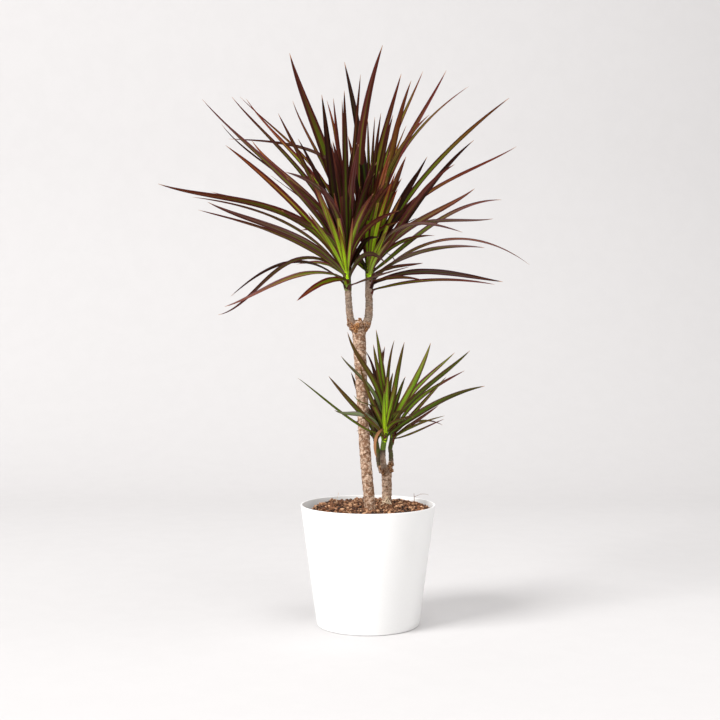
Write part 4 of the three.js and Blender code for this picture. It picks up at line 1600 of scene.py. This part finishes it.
@dataclass(frozen=True)
class LeafHead:
    """A leafy shoot: a slim core and the leaves that spiral out of it.

    green is the least and the most of how far along a leaf its green reaches. Its painted sheen, lush and
    dark numbers are how much painted sheen (a painted highlight), how young and how dark its leaves may be.
    That darkness is partly leaf tone and partly painted shade.
    """

    name: str
    node: str
    seed: int
    foot: Point
    top: Point
    radius: float
    spiral: Spiral
    outline: tuple[Leaf, ...]
    green: Span
    slot: Slot
    bark_top: float
    bloom: float
    lush: float
    dark_tone_and_shade: float
    inner: tuple[Leaf, ...]

    def spiral_leaves(self) -> list[Leaf]:
        """Returns the leaves between the outline ones, from upright spears to arching old leaves."""
        draw = Draw(self.seed)
        least, more = SPIRAL_GROWTH
        leaves = []
        for k in range(self.spiral.count):
            age = (k + 0.5) / self.spiral.count
            azimuth = math.radians(k * GOLDEN_DEGREES + SPIRAL_AZIMUTH_SPREAD * draw.number())
            lean = SPIRAL_LEAN * age * math.sin(azimuth)
            spread = SPIRAL_CLIMB_SPREAD * (draw.number() - 0.5)
            climb = math.radians(lerp(*SPIRAL_CLIMB, age) - lean + spread)
            growth = least + more * math.sin(math.pi * age)
            length = self.spiral.reach * growth * draw.between(*SPIRAL_LENGTHS)
            length *= 1 - SPIRAL_SIDE_CUT * age * abs(math.cos(azimuth))
            reach = length * math.cos(climb)
            bow = length * lerp(*SPIRAL_BOW, age) * draw.between(*SPIRAL_BOWS)
            tail = bow * draw.between(*SPIRAL_TAILS)
            width = self.spiral.width * draw.between(*SPIRAL_WIDTHS)
            tip = (reach * math.cos(azimuth), reach * math.sin(azimuth), length * math.sin(climb))
            leaves.append(Leaf(*tip, bow, tail, width))
        return leaves

    def bent_clear(self, points: np.ndarray) -> np.ndarray:
        """Bends points of a midrib away from the other heads and, in a lower head, from the tall cane."""
        for plane in PARTINGS:
            side = plane.side(self.node)
            if side:
                plane.bend(points, side)
        if self.node.startswith("lower"):
            low, high = np.array(BESIDE_LOWER_HEADS)
            share = ((points[:, 2] - low[2]) / (high[2] - low[2]))[:, None]
            off = points[:, :2] - (low[:2] + (high[:2] - low[:2]) * share)
            gap = np.linalg.norm(off, axis=1)[:, None]
            points[:, :2] += off / gap * shortfall(gap, TRUNK_CLEARANCE, TRUNK_SOFTNESS)
        return points

    def core_at(self, share: float) -> tuple[np.ndarray, float]:
        """Returns the core's centre and radius a share of the way up it."""
        foot, top = np.array(self.foot), np.array(self.top)
        return foot + (top - foot) * share, lerp(self.radius, CORE_TAPER * self.radius, share)

    def root_share(self, leaf: Leaf) -> float:
        """Returns how far up the core a leaf roots: low leaves near its foot, upright ones near its top."""
        if leaf.share is not None:
            return leaf.share
        least, most = ROOT_RANGE
        return min(max((leaf.climb() + LOWEST_ROOT) / math.radians(90), least), most)

    def midrib(self, leaf: Leaf) -> Callable[[np.ndarray], np.ndarray]:
        """Lays a leaf's midrib.

        Args:
            leaf: the leaf.

        Returns:
            A function from shares of the leaf's length to points, one row each.
        """
        away = leaf.away()
        axis, radius = self.core_at(self.root_share(leaf))
        root = axis + away * (ROOT_DEPTH * radius)
        tip = np.array(self.foot) + (leaf.x, leaf.y, leaf.z)
        chord = tip - root
        rise = math.atan2(chord[2], math.hypot(chord[0], chord[1]))
        upward = away * -math.sin(rise) + (0, 0, math.cos(rise))
        a, b = root + chord / 3 + upward * leaf.bow, root + chord * TAIL_AT + upward * leaf.tail

        def rib(share: np.ndarray) -> np.ndarray:
            """Returns points of the midrib, bent clear of what is beside the head."""
            t = share[:, None]
            on_curve = root * (1 - t) ** 3 + 3 * a * t * (1 - t) ** 2 + 3 * b * t**2 * (1 - t) + tip * t**3
            return self.bent_clear(on_curve)

        return rib

    def axes(self, leaf: Leaf, along: np.ndarray) -> tuple[np.ndarray, np.ndarray, np.ndarray]:
        """Finds a leaf's midrib, the way it runs and the way across it, before it turns.

        Args:
            leaf: the leaf.
            along: shares of its length.

        Returns:
            The points, the directions along and the directions across, one row each.
        """
        rib = self.midrib(leaf)
        ahead = rib(along + STRIDE) - rib(np.maximum(along - STRIDE, 0))
        ahead /= np.linalg.norm(ahead, axis=1)[:, None]
        away_x, away_y, _ = leaf.away()
        level = np.array([-away_y, away_x, 0])
        side = level - ahead * (ahead @ level)[:, None]
        return rib(along), ahead, side / np.linalg.norm(side, axis=1)[:, None]

    def facing(self, leaf: Leaf) -> float:
        """Returns the turn that would lay a leaf's nearer face square to the viewer, halfway along it."""
        _, ahead, side = self.axes(leaf, np.array([0.5]))
        return math.atan(-side[0, 1] / np.cross(ahead, side)[0, 1])

    def sheath(self, strap: np.ndarray, leaf: Leaf) -> np.ndarray:
        """Wraps the strap's foot round the core, as the leaf's base clasps it.

        Args:
            strap: the flat strap's vertices.
            leaf: the leaf.

        Returns:
            Where the vertices would lie on the core, in millimetres.
        """
        across, along, side_below = strap.T
        axis, core_radius = self.core_at(self.root_share(leaf))
        radius = core_radius + SHEATH_GAP + SHEATH_LAYER * side_below
        angle = math.atan2(leaf.y, leaf.x) - SHEATH_WRAP * across
        lift = SHEATH_RISE * along - SHEATH_SINK + SHEATH_FLARE * np.abs(across)
        return axis + np.column_stack([radius * np.cos(angle), radius * np.sin(angle), lift])

    def lay(self, strap: np.ndarray, leaf: Leaf, roll: float, twist: float, wave: float) -> np.ndarray:
        """Lays the strap along a leaf's midrib.

        Args:
            strap: the flat strap's vertices, across from -1 to 1, along from 0 to 1, and 0 on top, -1 below.
            leaf: the leaf.
            roll: how far its upper face turns at the root, in radians.
            twist: how much more it turns by the tip.
            wave: where its slight ripple starts.

        Returns:
            The vertices laid along the leaf, in metres.
        """
        form = leaf.form()
        across, along, side_below = strap[:, 0], strap[:, 1] * LEAF_REACH, strap[:, 2]
        centre, ahead, side = self.axes(leaf, along)
        sway, sways = form.sway
        turn = roll + (twist + form.curl) * along + sway * np.sin(sways * along + wave)
        side = side * np.cos(turn)[:, None] + np.cross(ahead, side) * np.sin(turn)[:, None]
        upward = np.cross(ahead, side)
        ending = np.maximum(1 - along**form.taper, 0) ** form.rounding
        root_width, widening = form.root_width
        half = leaf.width / 2 * np.minimum(1, root_width + widening * along) * ending + form.least_half
        root_fold, fold_length = form.root_fold
        fold = form.fold + root_fold * np.exp(-along / fold_length)
        rib, rib_width = form.rib
        thick = (form.blade + rib * np.exp(-((across / rib_width) ** 2))) * (1 - form.thinning * along)
        height = fold * half * np.abs(across) ** form.fold_power + side_below * thick
        ripple, ripples = form.ripple
        height += ripple * half * np.sin(ripples * along + 3 * wave) * across * np.abs(across)
        outward = across * half * (1 - form.fold_narrowing * fold**2)
        laid = centre - side * outward[:, None] + upward * height[:, None]
        clasp = (1 - smooth(0.0, SHEATH, along))[:, None]
        return (laid * (1 - clasp) + self.sheath(strap, leaf) * clasp) * MM

    def mark(self, blade: Piece, strap: np.ndarray, leaf: Leaf, youth: float, tones: Draw) -> None:
        """Notes the numbers that a leaf's finish reads.

        Args:
            blade: the laid leaf.
            strap: the flat strap's vertices.
            leaf: the leaf.
            youth: how much of its head's lushness it may show.
            tones: the run that its tones are drawn from.
        """
        upright = min(max(leaf.climb() / UPRIGHT, 0), 1)
        lush = upright * self.lush * tones.between(*LUSH_DRAWS)
        young = 1.0 if leaf.young else min(lush * youth, 1.0)
        drawn, grown = GREEN_SHARES
        note(
            blade,
            across=strap[:, 0],
            along=strap[:, 1],
            under=(strap[:, 2] < -0.5).astype(float),
            youth=young,
            dry=float(leaf.dry),
            green=lerp(*self.green, drawn * tones.number() + grown * young),
            rim=YOUNG_RIM if leaf.young else tones.between(*RIM_DRAWS),
            tone=tones.number(),
            # Painted backlight glow, on a few leaves drawn at random.
            lit=PAINTED_BACKLIGHT_MOST * max(0.0, PAINTED_BACKLIGHT_SLOPE * tones.number() - PAINTED_BACKLIGHT_DROP),
            # Partly leaf tone and partly painted shade. On young leaves it is a painted brightening.
            dark=YOUNG_PAINTED_BRIGHTENING if leaf.young else self.dark_tone_and_shade * tones.number() ** DARK_TONE_AND_SHADE_POWER * (1 - leaf.painted_sheen_share),
            # Painted sheen, strongest on arching leaves.
            bloom=max(min(self.bloom * (PAINTED_SHEEN_REACH - upright) * tones.number(), 1.0), leaf.painted_sheen_share),
        )

    def build(self, template: Piece, finish: bpy.types.Material, bark: bpy.types.Material) -> Piece:
        """Models the head.

        Args:
            template: the flat strap that every leaf is a copy of.
            finish: the leaves' material.
            bark: the material of the stem between them.

        Returns:
            The finished head, with the numbers that its finish reads.
        """
        strap = places(template)
        turns, tones = Draw(self.seed + TURN_SEED), Draw(self.seed + TONE_SEED)
        pieces = [coat(self.core(), bark)]
        spiral = self.spiral_leaves()
        for leaf in (*self.outline, *spiral, *self.inner):
            span, youth = (SPIRAL_TURN, 1.0) if leaf in spiral else (OUTLINE_TURN, OUTLINE_YOUTH)
            roll = self.facing(leaf) * turns.between(*span)
            twist = turns.between(-TWIST_LIMIT, TWIST_LIMIT)
            if leaf.face is not None:
                roll, twist = self.facing(leaf) * leaf.face, 0.0
            blade = coat(copy_of(template), finish)
            move_to(blade, self.lay(strap, leaf, roll, twist, LOOSE_TURN * tones.number()))
            self.mark(blade, strap, leaf, youth, tones)
            pieces.append(blade)
        head = joined(pieces, self.name)
        soften(head, HEAD_SHARP)
        return head

    def core(self) -> Piece:
        """Models the short stem that the leaves leave, sunk a little into the shoot below."""
        foot = (*self.foot[:2], self.foot[2] - CORE_SINK)
        core = limb((foot, self.top), (self.radius, CORE_TAPER * self.radius), 4).tube(*CORE_MESH)
        points = places(core)
        height = points[:, 2] - self.bark_top + CORE_RAGGED * roughness_of(points, CORE_GRAIN_SCALE)
        fresh = smooth(-CORE_FRESH_EDGE, CORE_FRESH_EDGE, height)
        lime = LUSH_LIME if self.lush >= LUSH_HEAD else PLAIN_LIME
        note(core, fresh=fresh, shoot=1.0, lime=lime, plate=CORE_PLATE)
        return core


def flat_strap(across: int = 6, along: int = 26) -> Piece:
    """Models the flat strap that every leaf is a copy of.

    Args:
        across: how many faces wide it is.
        along: how many faces long.

    Returns:
        A closed strap 2 wide, 1 long and 1 thick, with its top at 0.
    """
    start()
    bpy.ops.mesh.primitive_grid_add(x_subdivisions=across, y_subdivisions=along, size=2)
    strap = latest("leaf_strap")
    points = places(strap)
    points[:, 1] = (points[:, 1] + 1) / 2
    move_to(strap, points)
    finish_with(strap, "SOLIDIFY", thickness=1.0, offset=-1.0)
    return strap


# The tall cane's two heads, then the short cane's three.
UPPER_LEFT = LeafHead(
    "upper_left_leaves",
    "upper_left_crown",
    332,
    (-32.5, -10, 545),
    (-35, -12, 592),
    5.8,
    Spiral(24, 270, 13),
    (
        Leaf(-298, -70, 163, 100, 12, 12),
        Leaf(-230, 60, 166, 75, 20, 8),
        Leaf(-252, -10, 149, 52, 30, 6),
        Leaf(-215, -110, 130, 41, 0, 11, painted_sheen_share=0.7),
        Leaf(-236, -60, 123, 33, 12, 10),
        Leaf(-195, 40, -10, 80, 42, 6),
        Leaf(-208, -30, -42, 104, -10, 7, 0.6),
        Leaf(-192, -80, -30, 50, 3, 10, 0.35),
        Leaf(-78, -110, -22, 20, 10, 11, 0.3),
        Leaf(-239, 10, 312, 46, -2, 15),
        Leaf(-197, 70, 328, 60, 8, 9),
        Leaf(-170, 40, 319, 70, 2, 12),
        Leaf(-182, 60, 326, 88, 20, 6),
        Leaf(-106, -120, 264, 18, 5, 10),
        Leaf(-95, 90, 325, 60, 0, 7),
        Leaf(-215, 80, 283, 70, -8, 7),
        Leaf(-200, 50, 253, 182, 82, 7),
        Leaf(-193, -60, 225, 20, 14, 12),
        Leaf(-165, 90, 258, 60, -5, 10),
        Leaf(-93, -150, 170, 95, 50, 10, painted_sheen_share=1.0),
        Leaf(-97, 30, 392, 40, 0, 18),
        Leaf(-41, -70, 303, -15, 0, 14),
        Leaf(-35, 10, 310, 15, 15, 11),
        Leaf(-23, -50, 301, 10, 5, 9),
        Leaf(-9, -70, 294, 8, 8, 7),
        Leaf(-5, -130, 297, 20, 20, 11),
        Leaf(20, -100, 328, 10, 10, 8),
        Leaf(60, -90, 35, 40, 35, 9),
        Leaf(96, -100, 31, 4, 2, 4.5, 0.1),
        Leaf(12, -60, 235, 5, 10, 13),
        Leaf(45, -120, 190, 25, 20, 12),
        Leaf(-79, -50, 237, 20, 10, 10),
        Leaf(-58, -75, 178, 5, 0, 11, young=True),
        Leaf(-22, -60, 150, 0, 0, 10, young=True),
    ),
    green=(0.2, 1.05),
    slot=Slot.RED_LEAF,
    bark_top=0.543,
    bloom=0.75,
    lush=0.8,
    dark_tone_and_shade=1.15,
    inner=(
        Leaf(-38, -75, 137, 6, 3, 9, 0.55, young=True),
        Leaf(-14, -70, 98, 5, 2, 8, 0.5, young=True),
        Leaf(8, -62, 110, 5, 2, 6.5, 0.5, young=True),
        Leaf(-62, -72, 118, 10, 4, 8, 0.5, young=True),
    ),
)
UPPER_RIGHT = LeafHead(
    "upper_right_leaves",
    "upper_right_crown",
    146,
    (1.5, 20, 540),
    (2, 22, 598),
    6.2,
    Spiral(25, 270, 13),
    (
        Leaf(23, -15, 407, 50, 38, 17),
        Leaf(-41, 50, 394, 30, 15, 14),
        Leaf(57, 80, 381, 50, 15, 13),
        Leaf(68, -50, 341, 0, 15, 15),
        Leaf(96, 110, 392, 60, 15, 9),
        Leaf(133, 60, 382, 50, 10, 10),
        Leaf(175, 100, 363, 80, 50, 7),
        Leaf(96, -70, 282, 40, 46, 11),
        Leaf(238, 40, 331, 42, 26, 11),
        Leaf(168, -60, 243, 0, 17, 12),
        Leaf(135, -90, 200, 0, 28, 11),
        Leaf(255, 80, 255, 80, 15, 8),
        Leaf(90, -105, 210, 15, 0, 11),
        Leaf(167, -80, 163, 42, 0, 12),
        Leaf(226, 50, 160, 15, 42, 9, painted_sheen_share=0.8),
        Leaf(206, 0, 123, 97, 18, 8, painted_sheen_share=1.0),
        Leaf(146, -105, 91, 93, 45, 7, painted_sheen_share=0.9),
        Leaf(275, 60, 50, 80, 75, 7, painted_sheen_share=0.9),
        Leaf(187, -40, 72, 32, 25, 8, painted_sheen_share=1.0),
        Leaf(217, -40, 17, 40, 10, 11),
        Leaf(213, 40, 16, 20, 15, 6, 0.06),
        Leaf(88, -25, 20, 10, 8, 6),
        Leaf(88, -30, 48, 12, 2, 7),
        Leaf(-45, 110, 143, 60, -5, 10, painted_sheen_share=0.8),
        Leaf(-35, 60, 270, 10, 10, 13),
        Leaf(-60, 100, 235, 20, 15, 12),
        Leaf(17, -40, 291, 15, 10, 9),
        Leaf(9, -20, 288, 8, 5, 7),
        Leaf(-2, 5, 290, 5, 5, 7),
        Leaf(63, 20, 281, 20, 10, 7),
        Leaf(57, -80, 214, 5, 8, 14),
        Leaf(79, -60, 195, 5, 8, 9),
        Leaf(31, -70, 283, 15, 10, 11),
        Leaf(16, -75, 225, 5, 5, 11, young=True),
        Leaf(45, -60, 165, 5, 5, 10, young=True),
    ),
    green=(0.2, 1.15),
    slot=Slot.RED_LEAF,
    bark_top=0.566,
    bloom=0.75,
    lush=0.9,
    dark_tone_and_shade=1.15,
    inner=(
        Leaf(23, -85, 190, 8, 4, 9, 0.55, young=True),
        Leaf(7, -80, 210, 8, 4, 8, 0.6, young=True),
        Leaf(7, -72, 98, 5, 2, 7.5, 0.5, young=True),
        Leaf(18, -70, 82, 5, 2, 7, 0.5, young=True),
        Leaf(48, -75, 150, 8, 3, 8, 0.5, young=True),
    ),
)
LOWER_FRONT = LeafHead(
    "lower_front_leaves",
    "lower_front_crown",
    353,
    (24, -8, 286),
    (29, -13, 322),
    4.6,
    Spiral(12, 125, 9.5),
    (
        Leaf(-132, -130, 120, -14, -2, 4.5),
        Leaf(-86, -105, 122, -4, -4, 9),
        Leaf(-77, -100, 69, 45, 0, 9, face=1.35, painted_sheen_share=1.0),
        Leaf(-67, -100, 153, 50, 6, 7, face=1.2, painted_sheen_share=0.9),
        Leaf(-57, -80, 190, 50, -10, 10),
        Leaf(-37, -75, 138, 0, -14, 8),
        Leaf(-16, -40, 170, 20, 0, 10),
        Leaf(-12, -60, 194, 40, 10, 10),
        Leaf(18, -25, 177, 8, 14, 7),
        Leaf(34, -30, 174, -2, 3, 10),
        Leaf(15, -50, 126, 10, 10, 8),
        Leaf(34, -70, 120, -5, 5, 8),
        Leaf(75, -50, 173, -6, -8, 12),
        Leaf(159, -70, 105, 14, 17, 10),
        Leaf(136, -65, 161, 20, 0, 11),
        Leaf(46, -75, 55, 30, 35, 7),
        Leaf(-16, -27, -11, 25, 12, 6, 0.9, dry=True),
        Leaf(18, -35, 105, 0, 0, 9, young=True),
        Leaf(6, -40, 118, 0, 0, 9, young=True),
    ),
    green=(0.3, 1.25),
    slot=Slot.GREEN_LEAF,
    bark_top=0.278,
    bloom=0.12,
    lush=0.9,
    dark_tone_and_shade=0.8,
    inner=(
        Leaf(7, -52, 118, 5, 2, 9.5, 0.6, young=True),
        Leaf(1, -50, 96, 4, 2, 8, 0.5, young=True),
        Leaf(19, -48, 102, 5, 2, 7, 0.5, young=True),
    ),
)
LOWER_LEFT = LeafHead(
    "lower_left_leaves",
    "lower_left_crown",
    356,
    (17, 14, 279),
    (11, 18, 310),
    4,
    Spiral(11, 115, 9),
    (
        Leaf(-45, 30, 130, 0, 0, 8),
        Leaf(-21, 50, 166, 45, 38, 8),
        Leaf(13, 60, 173, 15, 15, 9),
        Leaf(12, 20, 168, 15, 15, 8),
    ),
    green=(0.1, 1.2),
    slot=Slot.DARK_LEAF,
    bark_top=0.256,
    bloom=0.6,
    lush=0.5,
    dark_tone_and_shade=0.8,
    inner=(),
)
LOWER_RIGHT = LeafHead(
    "lower_right_leaves",
    "lower_right_crown",
    24,
    (36.5, 10, 287),
    (42, 14, 314),
    3.8,
    Spiral(8, 100, 9),
    (
        Leaf(108, 20, 155, 33, 8, 9.5),
        Leaf(127, 50, 124, 33, 13, 7),
        Leaf(94, 20, 115, 0, 0, 6.5),
        Leaf(80, 5, 68, 0, 0, 6),
        Leaf(89, -10, 52, 8, 5, 4.5),
        Leaf(90, 15, 45, -5, 0, 3.5),
        Leaf(90, 50, 32, 25, 25, 4),
    ),
    green=(0.35, 1.6),
    slot=Slot.GREEN_LEAF,
    bark_top=0.263,
    bloom=0.3,
    lush=0.7,
    dark_tone_and_shade=0.5,
    inner=(
        Leaf(36, -6, 34, 38, 34, 4.5, young=True),
    ),
)
HEADS = (UPPER_LEFT, UPPER_RIGHT, LOWER_FRONT, LOWER_LEFT, LOWER_RIGHT)


# ---------------------------------------------------------------- studio


@dataclass(frozen=True)
class Lamp:
    """A soft square lamp: where it hangs, what it faces, how wide it is, and its watts and colour."""

    name: str
    place: Point
    target: Point
    size: float
    watts: float
    color: Color

    def build(self) -> None:
        """Adds the lamp."""
        start()
        bpy.ops.object.light_add(type="AREA", location=self.place)
        lamp = bpy.context.object
        lamp.name = self.name
        lamp.data.size = self.size
        lamp.data.energy = self.watts
        lamp.data.color = self.color
        ahead = Vector(self.target) - Vector(self.place)
        lamp.rotation_euler = ahead.to_track_quat("-Z", "Y").to_euler()


LAMPS = (
    Lamp("key_window", (-5.4, -3.8, 4.6), (0, 0, 0.5), 3.4, 665, (1.0, 0.995, 0.985)),
    Lamp("front_fill", (1.6, -3.0, 1.2), (0, 0, 0.4), 2.0, 21, (1.0, 0.99, 0.98)),
    Lamp("overhead", (0.7, -0.4, 2.8), (0, 0, 0.3), 1.8, 38, (1.0, 0.995, 0.985)),
)


@dataclass
class Studio:
    """A pale seamless floor and backdrop, soft light from the upper left, and the camera."""

    width: float = 9.0
    front: float = -4.0
    back: float = 2.6
    rise: float = 5.0
    sweep: float = 1.2
    sweep_faces: int = 24
    eye: Point = (-0.020, -1.922, 0.4705)
    lens: float = 58.82
    sensor: float = 36
    frame_shift: Span = (0.0059, -0.0343)
    backdrop: Color = (0.635, 0.623, 0.625)
    backdrop_dust: float = 0.97
    surroundings: Color = (1.0, 0.985, 0.975)
    surround_light: float = 0.43

    def floor(self, effects: Effects) -> None:
        """Models the floor that sweeps up into a backdrop."""
        start()
        bpy.ops.mesh.primitive_plane_add(size=1, location=(0, 0, 0))
        floor = latest("pale_floor")
        floor.scale = (self.width, self.back - self.front, 1)
        floor.location = (0, (self.back + self.front) / 2, 0)
        apply_place(floor)
        back = self.back - 1e-4
        with editing("EDGE") as mesh:
            pick(mesh.edges, lambda e: all(v.co.y > back for v in e.verts))
            bpy.ops.mesh.extrude_region_move(TRANSFORM_OT_translate={"value": (0, 0, self.rise)})
            pick(mesh.edges, lambda e: all(v.co.y > back and v.co.z < 1e-4 for v in e.verts))
            bpy.ops.mesh.bevel(offset=self.sweep, segments=self.sweep_faces, profile=0.5)
        soften(floor, 60)
        dusty = tuple(c * self.backdrop_dust for c in self.backdrop)
        finish = WallFinish("pale_backdrop", self.backdrop, dusty, (0.85, 0.95), 0.05)
        coat(floor, finish.build(effects))

    def light(self) -> None:
        """Adds the lamps and the pale surroundings."""
        for lamp in LAMPS:
            lamp.build()
        world = bpy.data.worlds.new("pale_surroundings")
        world.use_nodes = True
        color, strength = world.node_tree.nodes["Background"].inputs[:2]
        color.default_value = (*self.surroundings, 1)
        strength.default_value = self.surround_light
        bpy.context.scene.world = world
        bpy.context.scene.view_settings.view_transform = "Standard"

    def camera(self) -> None:
        """Adds the camera at the viewer's eye, level, with the frame shifted a little down."""
        start()
        bpy.ops.object.camera_add(location=self.eye, rotation=(math.radians(90), 0, 0))
        camera = bpy.context.object
        camera.name = "viewer"
        camera.data.lens = self.lens
        camera.data.sensor_width = self.sensor
        camera.data.shift_x, camera.data.shift_y = self.frame_shift
        bpy.context.scene.camera = camera

    def build(self, effects: Effects) -> None:
        """Sets up the floor, the lights and the camera."""
        self.floor(effects)
        self.light()
        self.camera()


# ---------------------------------------------------------------- the plant


def main() -> None:
    """Builds the plant and its surroundings."""
    logging.basicConfig(level=logging.INFO, format="%(message)s")
    effects = Effects()
    dress(coat(CoverPot().build(), GLAZE.build(effects)), Slot.GLAZE, "cover_pot")
    dress(coat(NurseryPot().build(), PLASTIC.build(effects)), Slot.PLASTIC, "nursery_pot")
    dress(coat(Soil().build(), LitterFinish("coir_and_bark").build(effects)), Slot.LITTER, "soil")
    bark = BarkFinish("corky_bark").build(effects)
    for cane, node in zip(canes(), ("tall_cane", "short_cane")):
        dress(coat(cane.build(), bark), Slot.BARK, node)
    leaf_finishes = {slot: finish.build(effects) for slot, finish in LEAF_FINISHES.items()}
    strap = flat_strap()
    for head in HEADS:
        dress(head.build(strap, leaf_finishes[head.slot], bark), head.slot, head.node)
    bpy.data.objects.remove(strap)
    Studio().build(effects)


if __name__ == "__main__":
    main()
